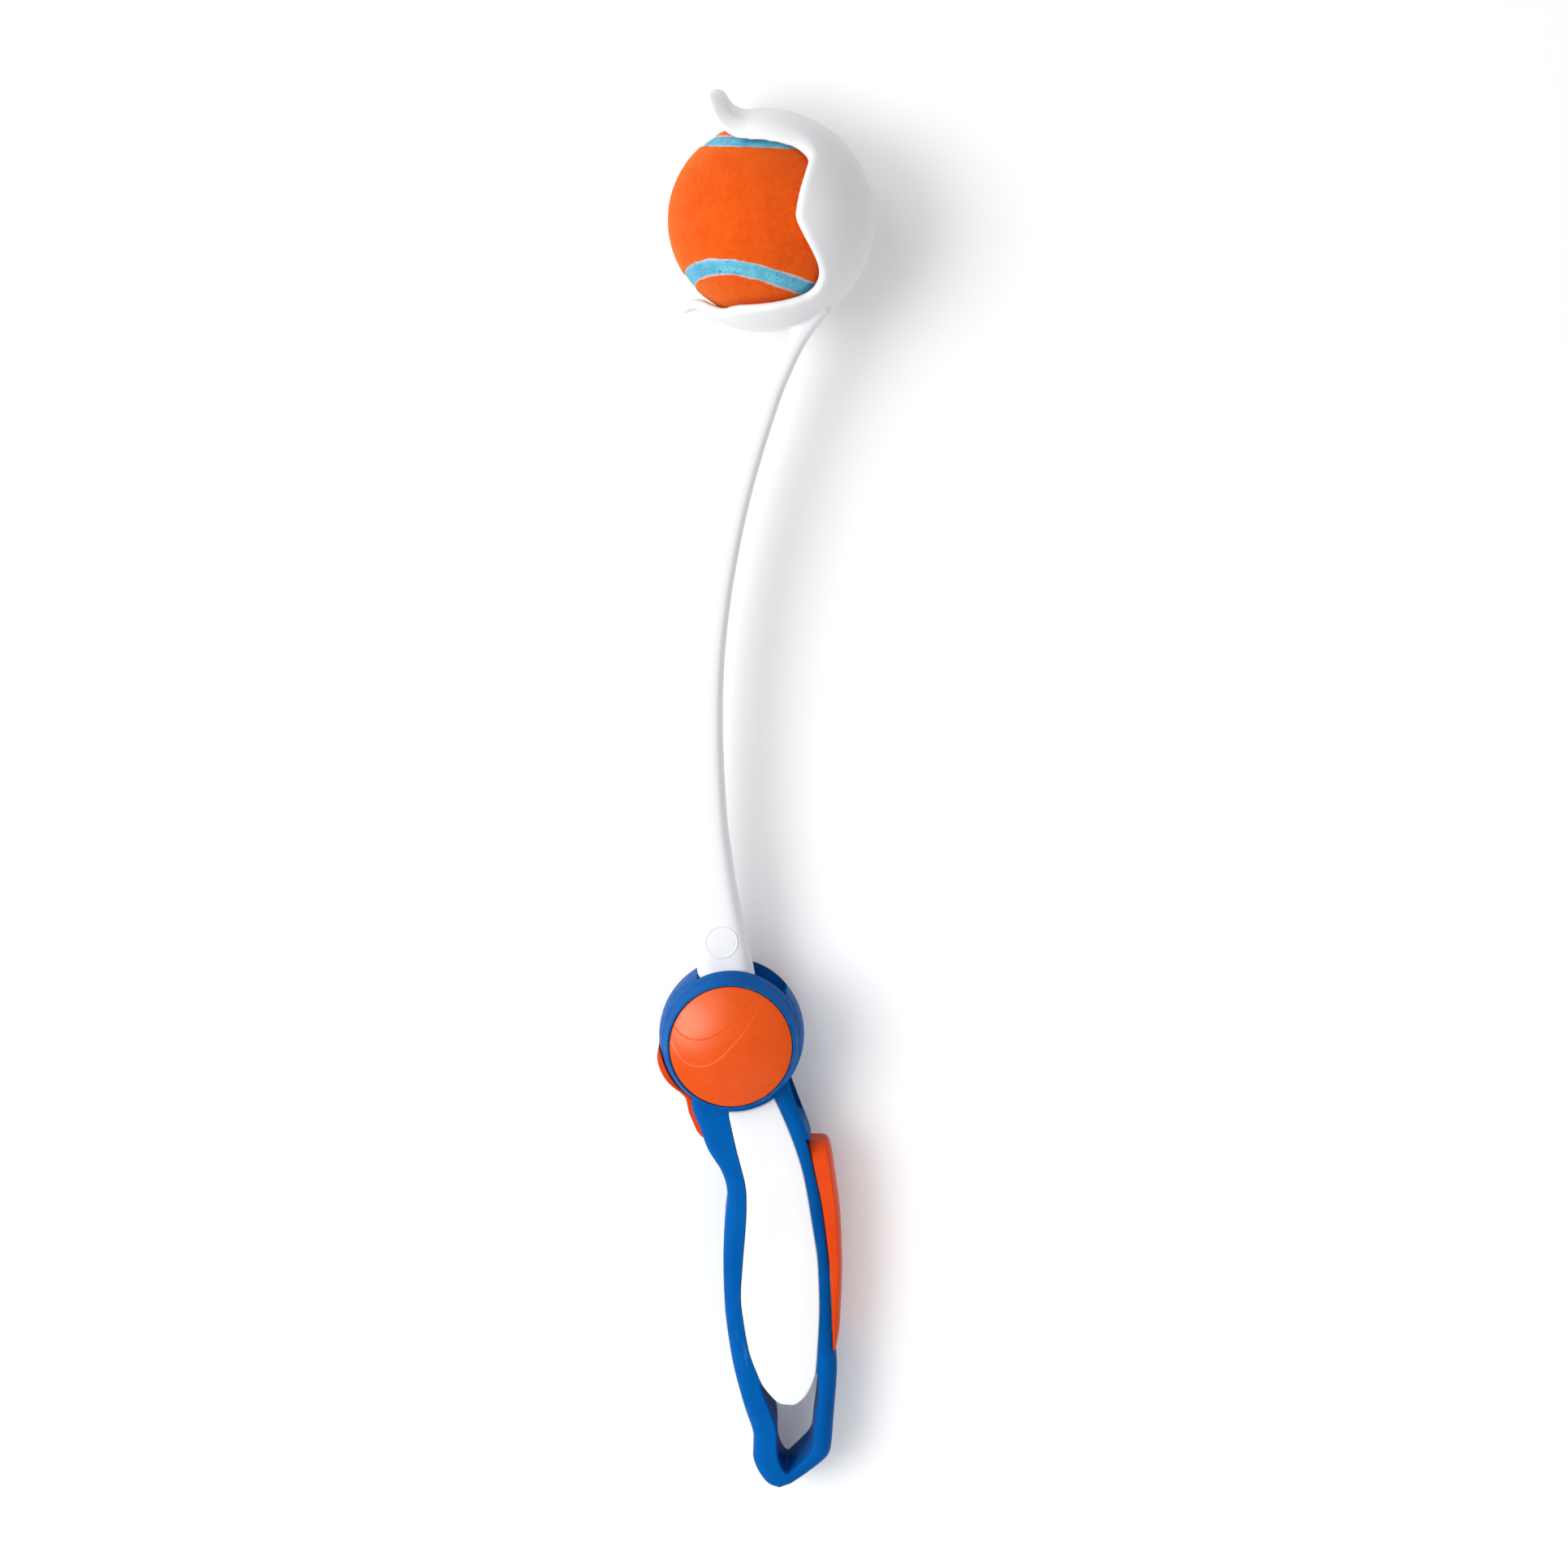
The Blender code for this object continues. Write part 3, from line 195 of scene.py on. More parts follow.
# Lock lever
LEVER_T = 0.0020
LEVER_LIFT = 0.0004
LEVER_W = 0.0130
LEVER_HOOK_HALF = 0.0118
LEVER_ROUND = 0.0005
LEVER_PIVOT_OUT = 0.0036
LEVER_PIVOT_ANGLE = 248.2
LEVER_EAR_R = 0.0022
LEVER_PIN_R = 0.0010
LEVER_PIN_L = 0.0172
LEVER_ROOM = 0.0030
SPRING_R = 0.0015
SPRING_L = 0.0052

# Belt clip
CLIP_T = 0.0060
CLIP_SEAT = 0.00155
CLIP_SEAT_GAP = 0.00015
CLIP_SEAT_LEAD = 0.0022
CLIP_EDGE_STEP = 0.0019
CLIP_EDGE_R = 0.0007
CLIP_END_R = 0.0070
CLIP_CROWN = 0.0018
CLIP_CROWN_SHARE = 0.6
CLIP_EDGE_SHARE = 0.3
CLIP_SKIN = 0.0020
CLIP_BEAD_R = 0.0017
CLIP_BEAD_W = 0.0140
CLIP_BEAD_IN = 0.0031
CLIP_NECK_T = 0.0015
CLIP_SWING_ROOM = 0.0008

# Outline tables: shares of HANDLE_BACK across, and along the handle down to -1 at its end
NECK_SHARE = 0.30
NECK_PER_HUB_SHARE = 1.93
LEFT_SHARES = (
    (-0.374, -0.050), (-0.376, -0.143), (-0.302, -0.192), (-0.222, -0.242),
    (-0.092, -0.292), (-0.042, -0.340), (-0.069, -0.404), (-0.082, -0.490),
    (-0.069, -0.588), (-0.038, -0.654), (0.014, -0.726), (0.107, -0.809),
    (0.190, -0.867), (0.206, -0.899), (0.198, -0.931), (0.250, -0.963),
    (0.341, -0.990), (0.448, -1.000),
)
RIGHT_SHARES = (
    (0.560, -0.991), (0.706, -0.969), (0.852, -0.943), (0.923, -0.924),
    (0.948, -0.899), (0.967, -0.838), (0.995, -0.752), (0.996, -0.712),
    (0.972, -0.687), (0.964, -0.645), (0.956, -0.592), (0.940, -0.518),
    (0.912, -0.446), (0.868, -0.365), (0.810, -0.294), (0.742, -0.220),
    (0.654, -0.163), (0.560, -0.104), (0.480, -0.040),
)
LOOP_SHARES = (
    (0.813, -0.740), (0.819, -0.785), (0.802, -0.826), (0.780, -0.865),
    (0.769, -0.894), (0.750, -0.909), (0.703, -0.924), (0.560, -0.957),
    (0.527, -0.961), (0.484, -0.952), (0.445, -0.931), (0.431, -0.906),
    (0.431, -0.878), (0.418, -0.853), (0.376, -0.826), (0.310, -0.788),
    (0.280, -0.765), (0.300, -0.757), (0.363, -0.773), (0.451, -0.792),
    (0.538, -0.798), (0.615, -0.795), (0.692, -0.780), (0.750, -0.756),
    (0.785, -0.738),
)
PANEL_SHARES = (
    (0.800, -0.730), (0.816, -0.681), (0.832, -0.606), (0.830, -0.550),
    (0.816, -0.483), (0.791, -0.440), (0.753, -0.385), (0.717, -0.334),
    (0.668, -0.280), (0.593, -0.225), (0.500, -0.171), (0.412, -0.126),
)
PANEL_LEFT_SHARES = (
    (-0.038, -0.151), (0.036, -0.230), (0.124, -0.312), (0.137, -0.356),
    (0.129, -0.407), (0.099, -0.493), (0.082, -0.562), (0.104, -0.615),
    (0.159, -0.686), (0.231, -0.733), (0.286, -0.761), (0.376, -0.788),
    (0.453, -0.803), (0.538, -0.806), (0.604, -0.805), (0.687, -0.790),
    (0.747, -0.768), (0.780, -0.748),
)
SCREW_SHARES = (-0.200, -0.385, -0.560, -0.698)
CAVITY_SHARES = (-0.255, -0.635)
# The lever: its thickness along the handle, then round the hub by angle, and its hook's width and thickness
LEVER_SHARES = ((-0.166, 0.90), (-0.190, 0.95), (-0.206, 0.80), (-0.2185, 0.35))
LEVER_ARC_SHARES = (
    (195.4, 0.30), (197.5, 0.48), (203, 0.60), (210, 0.60), (218, 0.50), (226, 0.40), (233, 0.55),
)
LEVER_HOOK_SHARES = (
    (190, 0.90, 0.14), (191.2, 0.98, 0.22), (193.5, 1.00, 0.33), (197.5, 1.00, 0.44),
    (203, 1.00, 0.50), (210, 1.00, 0.47), (218, 0.88, 0.38), (226, 0.72, 0.28),
    (236, 0.58, 0.25),
)
LEVER_ROOM_SHARES = (-0.090, -0.235)
SPRING_SHARE = -0.208
# The clip: its thickness along the handle, with one break in the curve, its seat's depth, its pivot, its
# pocket, and its crown's fall across half its width
CLIP_SHARES = (
    (-0.2285, 0.70), (-0.230, 0.86), (-0.236, 0.97), (-0.247, 1.00), (-0.262, 1.00),
    (-0.279, 0.98), (-0.330, 0.90),
    (-0.382, 0.86), (-0.425, 0.79), (-0.463, 0.72), (-0.520, 0.63), (-0.560, 0.55),
    (-0.595, 0.47), (-0.640, 0.37), (-0.668, 0.25), (-0.6860, 0.12),
)
CLIP_BREAK = 6
CLIP_SEAT_SHARES = ((-0.2255, 1.0), (-0.26, 0.80), (-0.34, 0.52), (-0.50, 0.32), (-0.6905, 0.39))
CLIP_PIVOT_SHARE = -0.684
CLIP_POCKET_SHARES = (-0.272, -0.500)
CLIP_SECTION_SHARES = ((0.0, 0.0), (0.38, 0.07), (0.68, 0.26), (0.86, 0.52), (0.97, 0.86))
# Strap's back edge, from the hub to its end on the cup across and along, and its thickness there
ARM_SHARES = (
    (-0.007, 0, 0.99), (-0.101, 0.0506, 0.925), (-0.241, 0.1257, 0.745), (-0.326, 0.1882, 0.645),
    (-0.392, 0.2504, 0.56), (-0.44, 0.3743, 0.47), (-0.403, 0.4969, 0.418), (-0.253, 0.6186, 0.388),
    (-0.012, 0.7393, 0.367), (0.326, 0.8592, 0.347), (0.502, 0.9071, 0.34), (0.657, 0.9427, 0.337),
    (0.832, 0.9733, 0.337), (1, 1, 0.337),
)
# Rim of the cup: angle round the cup's axis from the tab, and how far the shell reaches from its pole
RIM = (
    (0, 123.8), (9, 123.8), (17, 123.6), (23, 122.4), (27.5, 119), (31, 113.5), (34, 107),
    (36.6, 101), (38.8, 92), (40.9, 80), (44.2, 71), (51.3, 65.7), (61.3, 67.5), (70, 69.8),
    (80, 72), (89, 72.9), (98, 69), (106, 65), (114, 61.5), (122, 59.3), (129, 59.3),
    (135.5, 62), (138.6, 67), (139.8, 76), (141, 87), (143.5, 99), (148, 107.8),
    (155, 113), (160, 119), (164, 127), (168, 134.2), (173, 139), (180, 140.2),
)
# How far the tab's cut edge slants from its inner to its outer face, by the angle from the tab's middle
TAB_SLANT = ((0, 0.0010), (12, 0.0012), (20, 0.0024), (41, 0.0024), (54, 0))
# The sunk seams on the caps, each between an upper and a lower line, in millimetres from the fold axis
CAP_SEAMS = (
    (
        ((9.9, 19.6), (9.0, 18.5), (3.8, 13.0), (-1.4, 7.7), (-6.6, 4.3), (-12.1, 3.2),
         (-16.6, 4.6), (-19.6, 8.0)),
        ((14.3, 18.3), (12.5, 16.9), (9.0, 13.3), (4.9, 6.6), (-0.1, 0.7), (-3.6, -2.9),
         (-7.7, -5.5), (-12.1, -6.0), (-15.6, -4.6), (-18.6, -1.0), (-20.6, 2.6)),
    ),
    (
        ((19.8, -8.6), (17.6, -10.6), (12.5, -13.5), (5.3, -16.0), (-1.9, -17.4), (-6.9, -17.8),
         (-10.4, -18.4)),
        ((18.2, -12.2), (15.1, -14.9), (10.7, -16.7), (3.5, -18.6), (-1.9, -19.4), (-5.0, -20.4)),
    ),
)

# Counts and steps
DRUM_SIDES = 160
BORE_SIDES = 40
SCREW_SIDES = 24
CURVE_STEPS = 7
SHORT_STEPS = 5
ROUND_STEPS = 7
ROOM_REACH = 5
ROOM_TRIES = 19
RIM_STEPS = 6
RIM_ROUND_STEPS = 6
CUP_RINGS = 40
SECTION_POINTS = 44
STRAP_STEPS = 8
TRIM_STEPS = 60
EYE_STEPS = 25
MARK_RINGS = 96
SEAM_STEP = 0.01
SEAM_RINGS = 520
SEAM_COLUMNS = 14
FELT_ROWS = 150
FELT_COLUMNS = 64
CAP_GRID = 190
BARREL_GROOVE_STEPS = 70
FLANK_STEPS = 10
PANEL_TOP_STEPS = 14
CAVITY_STEPS = 17
CLIP_SEAT_STEPS = 40
CLIP_POCKET_STEPS = 16

# Sizes that follow from the ones above
CUP_MID_R = BALL_R + CUP_GAP + CUP_WALL / 2
TAB_RUN = RIM[0][1] - TAB_START
TAB_SLANT_MOST = max(slant for _, slant in TAB_SLANT)
STRAP_END_R = CUP_MID_R + CUP_WALL / 3
STRAP_END_TURN = math.radians(STRAP_END_ANGLE)
HUB_EDGE_R = HUB_R - HUB_EDGE_DRAW
BEZEL_LIP_R = HUB_EDGE_R - BEZEL_DRAW
ARM_ROOT_Y = ARM_ROOT_FLOOR + GAP
ARM_ROOT_TOP = HUB_R - ARM_ROOT_SUNK
HANDLE_HALF = HANDLE_D / 2
HANDLE_BACK = HUB_R + HANDLE_PAST_HUB
HANDLE_NECK = HUB_R * NECK_PER_HUB_SHARE
BARREL_HALF = HANDLE_HALF - HUB_CHEEK_T
ARM_W = 2 * (BARREL_HALF - ARM_PLAY)
HUB_EDGE_Z = HANDLE_HALF + HUB_EDGE_PROUD
FRONT_BEZEL_Z = HANDLE_HALF + FRONT_BEZEL_PROUD
REAR_BEZEL_Z = HANDLE_HALF + REAR_BEZEL_PROUD
CLIP_W = HANDLE_D - 2 * CLIP_EDGE_STEP
CHEEK_Z = BARREL_HALF + GAP
CHAMBER_R = HUB_R + RUN_GAP
RECESS_Z = HANDLE_HALF + PANEL_PROUD - PANEL_T - GAP
ROOF_Z = RECESS_Z - ROOF_T
WEB_Z = CHEEK_Z + WEB_T


def polar(angle, radius):
    turn = math.radians(angle)
    return np.array((math.cos(turn), math.sin(turn))) * radius


def bearing(point):
    return math.degrees(math.atan2(point[1], point[0]))


def arc(start, end, radius, count, centre=(0, 0)):
    return [np.array(centre) + polar(a, radius) for a in np.linspace(start, end, count)]


def along(share):
    """A place along the handle: the neck keeps to the hub, and the rest runs on to the handle's reach."""
    neck = min(-share / NECK_SHARE, 1)
    rest = max(-share - NECK_SHARE, 0) / (1 - NECK_SHARE)
    return -neck * HANDLE_NECK - rest * (HANDLE_REACH - HANDLE_NECK)


def scaled(shares):
    return [np.array((x * HANDLE_BACK, along(y))) for x, y in shares]


def smooth(points, steps, closed=False):
    """A Catmull-Rom curve through the points, with the given number of steps to each."""
    points = [np.asarray(p, float) for p in points]
    count = len(points)
    out = []
    for i in range(count if closed else count - 1):
        if closed:
            a, b, c, d = (points[(i + k) % count] for k in (-1, 0, 1, 2))
        else:
            b, c = points[i], points[i + 1]
            a = points[i - 1] if i else 2 * b - c
            d = points[i + 2] if i + 2 < count else 2 * c - b
        for k in range(steps):
            t = k / steps
            line = (c - a) * t + (2 * a - 5 * b + 4 * c - d) * t**2
            out.append(b + (line + (3 * b - a - 3 * c + d) * t**3) / 2)
    if not closed:
        out.append(points[-1])
    return out


def outward(points):
    """The mitred normals of a closed outline, pointing out."""
    points = np.array(points)
    before = points - np.roll(points, 1, 0)
    after = np.roll(points, -1, 0) - points
    before = before / np.maximum(np.linalg.norm(before, axis=1), WELD / 100)[:, None]
    after = after / np.maximum(np.linalg.norm(after, axis=1), WELD / 100)[:, None]
    x, y = points.T
    sign = 1 if np.sum(x * np.roll(y, -1) - np.roll(x, -1) * y) > 0 else -1
    normals = np.stack((before[:, 1] + after[:, 1], -before[:, 0] - after[:, 0]), 1) * sign
    length = np.maximum(np.linalg.norm(normals, axis=1), MITRE_LEAST)
    return normals / length[:, None] * np.minimum(2 / length, MITRE_LIMIT)[:, None]


def offset(points, distance):
    """The closed outline moved out by a distance, or by one distance to each point."""
    return np.array(points) + outward(points) * np.reshape(distance, (-1, 1))


def fillet_room(points, radius):
    """The radius up to the wanted ones that an edge's round can have at each point without meeting itself."""
    points = np.array(points)
    normals = outward(points)
    room = np.array(radius)
    for tried in np.linspace(room.max(), ROOM_LEAST * room.max(), ROOM_TRIES):
        moved = points - normals * tried
        nearest = np.linalg.norm(moved[:, None] - points[None], axis=2).min(1)
        room = np.where(nearest < ROOM_TOUCH * tried, np.minimum(room, ROOM_KEPT * tried), room)
    shifts = range(-ROOM_REACH, ROOM_REACH + 1)
    low = np.min([np.roll(room, k) for k in shifts], 0)
    return np.mean([np.roll(low, k) for k in shifts], 0)


def placed(name, data):
    """A new object in the scene."""
    obj = bpy.data.objects.new(name, data)
    bpy.context.scene.collection.objects.link(obj)
    return obj


def settled(bm, mesh):
    """Writes a bmesh to the mesh, with its doubles welded and its faces turned outward."""
    bmesh.ops.remove_doubles(bm, verts=bm.verts, dist=WELD / 100)
    bmesh.ops.recalc_face_normals(bm, faces=bm.faces)
    bm.to_mesh(mesh)
    bm.free()
    return mesh


def made(name, bm):
    """A new object from a bmesh."""
    return placed(name, settled(bm, bpy.data.meshes.new(name)))


def band(bm, low, high):
    """Quads between two closed rings of vertices."""
    for i in range(len(low)):
        j = (i + 1) % len(low)
        bm.faces.new((low[i], low[j], high[j], high[i]))


def loft(name, rings, capped=True):
    """A solid through rings of as many points each; with capped False the last ring meets the first."""
    bm = bmesh.new()
    loops = [[bm.verts.new(p) for p in ring] for ring in rings]
    pairs = list(zip(loops, loops[1:]))
    if not capped:
        pairs.append((loops[-1], loops[0]))
    for low, high in pairs:
        band(bm, low, high)
    if capped:
        bm.faces.new(reversed(loops[0]))
        bm.faces.new(loops[-1])
    return made(name, bm)


def stack(name, steps):
    """A solid through outlines, each with one height or a height for each of its points."""
    rings = []
    for outline, z in steps:
        heights = np.broadcast_to(z, len(outline))
        rings.append([(p[0], p[1], h) for p, h in zip(outline, heights)])
    return loft(name, rings)


def prism(name, outline, low, high):
    return stack(name, [(outline, low), (outline, high)])


def turned(name, profile, sides, centre=(0, 0), shut=True):
    """A profile of radius and height turned about Z; shut joins its last point to its first."""
    bm = bmesh.new()
    rings = []
    for radius, height in profile:
        if radius < WELD / 100:
            rings.append([bm.verts.new((centre[0], centre[1], height))])
            continue
        ring = arc(0, 360 - 360 / sides, radius, sides, centre)
        rings.append([bm.verts.new((x, y, height)) for x, y in ring])
    pairs = list(zip(rings, rings[1:]))
    if shut:
        pairs.append((rings[-1], rings[0]))
    for low, high in pairs:
        for i in range(sides):
            j = (i + 1) % sides
            corners = [ring[k % len(ring)] for ring, k in ((low, i), (low, j), (high, j), (high, i))]
            unique = list(dict.fromkeys(corners))
            if len(unique) > 2:
                bm.faces.new(unique)
    return made(name, bm)


def rod(name, radius, low, high, centre=(0, 0), sides=BORE_SIDES):
    return turned(name, [(0, low), (radius, low), (radius, high), (0, high)], sides, centre, shut=False)


def with_modifier(obj, kind, **settings):
    """Puts a modifier on the object's mesh for good."""
    step = obj.modifiers.new(kind.lower(), kind)
    for key, value in settings.items():
        setattr(step, key, value)
    graph = bpy.context.evaluated_depsgraph_get()
    mesh = bpy.data.meshes.new_from_object(obj.evaluated_get(graph))
    obj.modifiers.clear()
    obj.data = mesh
    return obj


def boolean(target, tool, operation):
    with_modifier(target, "BOOLEAN", operation=operation, object=tool)
    bm = bmesh.new()
    bm.from_mesh(target.data)
    bmesh.ops.remove_doubles(bm, verts=bm.verts, dist=WELD / 50)
    bmesh.ops.dissolve_degenerate(bm, edges=bm.edges, dist=WELD / 50)
    bm.to_mesh(target.data)
    bm.free()
    bpy.data.objects.remove(tool)
    return target


def cut(target, *tools):
    for tool in tools:
        boolean(target, tool, "DIFFERENCE")
    return target


def join(target, *tools):
    for tool in tools:
        boolean(target, tool, "UNION")
    return target


def mirrored(obj):
    """Turns a piece of the front into its like at the rear."""
    obj.data.transform(Matrix.Scale(-1, 4, (0, 0, 1)))
    obj.data.flip_normals()
    return obj


LEFT_CURVE = smooth(scaled(LEFT_SHARES), CURVE_STEPS)
RIGHT_CURVE = smooth(scaled(RIGHT_SHARES), CURVE_STEPS)
HANDLE_OUTLINE = LEFT_CURVE[:1] + LEFT_CURVE[CURVE_STEPS:] + RIGHT_CURVE[:-CURVE_STEPS] + RIGHT_CURVE[-1:]


def read_off(y, table):
    """The value at the height y in a table of heights and values."""
    heights, values = zip(*sorted(table))
    return float(np.interp(y, heights, values))


def edge_x(curve, y):
    """Where a side of the handle lies at the height y."""
    return read_off(y, [(p[1], p[0]) for p in curve])


def left_x(y):
    return edge_x(LEFT_CURVE, y)


def right_x(y):
    return edge_x(RIGHT_CURVE, y)


LEVER_PIVOT = polar(LEVER_PIVOT_ANGLE, HUB_R + LEVER_PIVOT_OUT)
CLIP_PIVOT = np.array((right_x(along(CLIP_PIVOT_SHARE)) - CLIP_BEAD_IN, along(CLIP_PIVOT_SHARE)))
SCREW_PLACES = [((left_x(along(s)) + right_x(along(s))) / 2, along(s)) for s in SCREW_SHARES]


def seat_x(y):
    """Where the clip's seat, sunk into the handle's back, lies at the height y."""
    return right_x(y) - read_off(y, [(along(p), s * CLIP_SEAT) for p, s in CLIP_SEAT_SHARES])


def rounding(radius, steps):
    """How far an edge's round lies in from its side and down from its top, from the side to the top."""
    turns = [math.radians(90 * i / steps) for i in range(steps + 1)]
    return [(radius * (1 - math.cos(t)), radius * (1 - math.sin(t))) for t in turns]


def beside(side_x, heights, out=0):
    """Points beside a side of the handle at the heights."""
    return [(side_x(y) + out, y) for y in heights]


def panel_outline(grow):
    """The inlay's outline; its top follows the hub's edge."""
    sides = smooth(scaled(PANEL_LEFT_SHARES) + scaled(PANEL_SHARES), CURVE_STEPS)
    ring = HUB_EDGE_R + PANEL_HUB_GAP + GAP + GAP - grow
    sides = [p for p in offset(sides, grow) if np.linalg.norm(p) > ring]
    first, last = bearing(sides[0]), bearing(sides[-1])
    sides = [p for p in sides if np.linalg.norm(p) > ring + PANEL_CORNER]
    top = arc(last, first, ring, PANEL_TOP_STEPS)
    return sides + top[:1] + top[2:-2] + top[-1:]


def arm_rows():
    """The arm's back edge and its thickness, from the root's foot to the strap's end on the cup."""
    end = BALL_CENTRE.x + STRAP_END_R * math.cos(STRAP_END_TURN)
    across = end - ARM_ROOT_BACK
    rows = [(ARM_ROOT_BACK, y, ARM_ROOT_T) for y in (ARM_ROOT_Y, (ARM_ROOT_Y + ARM_ROOT_TOP) / 2)]
    for u, v, thick in ARM_SHARES:
        rows.append((ARM_ROOT_BACK + u * across, ARM_ROOT_TOP + v * ARM_SPAN, thick * ARM_ROOT_T))
    return np.array(rows)


ARM_ROWS = arm_rows()


def swept_arm_outline():
    """The room that the folded arm's back edge takes in the handle's neck."""
    turn = Matrix.Rotation(math.radians(-FOLD_MAX - FOLD_MARGIN), 2)
    edge = [Vector(row[:2]) for row in ARM_ROWS if np.linalg.norm(row[:2]) > CHAMBER_R - OVERRUN]
    edge = [turn @ p for p in edge if p.length < 2 * CHAMBER_R + OVERRUN]
    far = polar(-POCKET_END / 3, edge[-1].length)
    inner = arc(-POCKET_END / 3, bearing(edge[0]), CHAMBER_R - OVERRUN, 4)
    return [np.array(p) for p in edge] + [far] + inner[:-1]


def meridian(reach, start, bend_r, turn_limit):
    """A point of the cup's middle surface and its outward normal, at a reach in degrees from the pole.

    The shell is a sphere to start, then it bends outward by turn_limit, and then it runs straight.
    """
    normal = polar(min(reach, start), 1)
    point = normal * CUP_MID_R
    if reach <= start:
        return point, normal
    rest = math.radians(reach - start) * CUP_MID_R
    bend = min(math.degrees(rest / bend_r), turn_limit)
    after = polar(start - bend, 1)
    point = point + bend_r * (normal - after)
    ahead = np.array((-after[1], after[0]))
    return point + ahead * (rest - bend_r * math.radians(bend)), after


def on_tab(angle):
    return angle % 360 < 90 or angle % 360 > 270


def cup_point(angle, reach, side):
    """A point at side from the cup's middle surface, with the directions on and round from there."""
    bend = (TAB_START, TAB_BEND_R, TAB_TURN) if on_tab(angle) else (LIP_START, LIP_BEND_R, LIP_TURN)
    point, normal = meridian(reach, *bend)
    turn = math.radians(angle)
    spoke = Vector((0, math.cos(turn), math.sin(turn)))
    pole = Vector((1, 0, 0))
    up = pole * normal[0] + spoke * normal[1]
    ahead = pole * -normal[1] + spoke * normal[0]
    round_it = Vector((0, -math.sin(turn), math.cos(turn)))
    return pole * point[0] + spoke * point[1] + up * side, ahead, round_it


def tab_share(reach):
    """How far a reach is along the tab: 0 where it bends out, and 1 at its end."""
    return min(max(reach - TAB_START, 0) / TAB_RUN, 1)


def tab_fillet(angle, reach):
    """What the tab's outer face is thickened by."""
    rise = min(TAB_FILLET_RISE * tab_share(reach), 1)
    return TAB_FILLET * math.sin(math.pi / 2 * rise) if on_tab(angle) else 0


def cup_section(angle, reach, away, width, slant):
    """The shell's section at a place of its rim: along the outer face, round the edge, and back inside."""
    wall = CUP_WALL / 2
    shares = np.linspace(0, 1, CUP_RINGS + 1)[1:]
    back = np.degrees(slant * away / (width, CUP_MID_R))
    section = []
    for share in shares:
        thick = wall + tab_fillet(angle, reach * share)
        section.append(cup_point(angle - back[0], (reach - back[1]) * share, thick)[0])
    _, ahead, round_it = cup_point(angle, reach, 0)
    beyond = round_it * away[0] + ahead * away[1]
    swell = TAB_SWELL * tab_share(reach) * slant / TAB_SLANT_MOST
    full = tab_fillet(angle, reach)
    for k in range(1, RIM_ROUND_STEPS):
        turn = math.pi * k / RIM_ROUND_STEPS
        side = math.cos(turn)
        thick = wall * side - swell * (1 - side) / 2 + full * (1 + side) / 2
        place = cup_point(angle - back[0] * side, reach - back[1] * side, thick)[0]
        section.append(place + beyond * math.sin(turn) * wall)
    for share in shares[::-1]:
        thick = -wall - swell * tab_share(reach * share)
        section.append(cup_point(angle + back[0], (reach + back[1]) * share, thick)[0])
    return section


def cup():
    """The shell round the ball, cut to the rim, whose edge is fully rounded."""
    half = smooth(RIM, RIM_STEPS)
    rim = np.array(half + [np.array((360 - a, r)) for a, r in reversed(half[1:-1])])
    wall = CUP_WALL / 2
    spread = np.array([max(cup_point(a, r, 0)[0].yz.length, wall) for a, r in rim])
    steps = np.roll(rim, -1, 0) - np.roll(rim, 1, 0)
    steps[:, 0] = (steps[:, 0] + 180) % 360 - 180
    run = np.stack((np.radians(steps[:, 0]) * spread, np.radians(steps[:, 1]) * CUP_MID_R), 1)
    run = run / np.linalg.norm(run, axis=1)[:, None]
    out = np.stack((-run[:, 1], run[:, 0]), 1)
    angles = rim[:, 0] - np.degrees(out[:, 0] * wall / spread)
    reaches = rim[:, 1] - np.degrees(out[:, 1] * wall / CUP_MID_R)
    slants = np.interp(np.abs((rim[:, 0] + 180) % 360 - 180), *zip(*TAB_SLANT))
    bm = bmesh.new()
    poles = [bm.verts.new((CUP_MID_R + s * wall, 0, 0)) for s in (1, -1)]
    columns = []
    for values in zip(angles, reaches, out, spread, slants):
        columns.append([bm.verts.new(p) for p in cup_section(*values)])
    for a, b in zip(columns, columns[1:] + columns[:1]):
        bm.faces.new((poles[0], a[0], b[0]))
        bm.faces.new((poles[1], b[-1], a[-1]))
        for k in range(len(a) - 1):
            bm.faces.new((a[k], a[k + 1], b[k + 1], b[k]))
    obj = made("cup", bm)
    obj.data.transform(Matrix.Translation(BALL_CENTRE))
    return obj


def eye_outline(radius):
    """The arm's eye on the axle, up to the root's floor."""
    top = ARM_ROOT_FLOOR + OVERRUN
    return [(radius, top), (-radius, top)] + arc(180, 360, radius, EYE_STEPS)


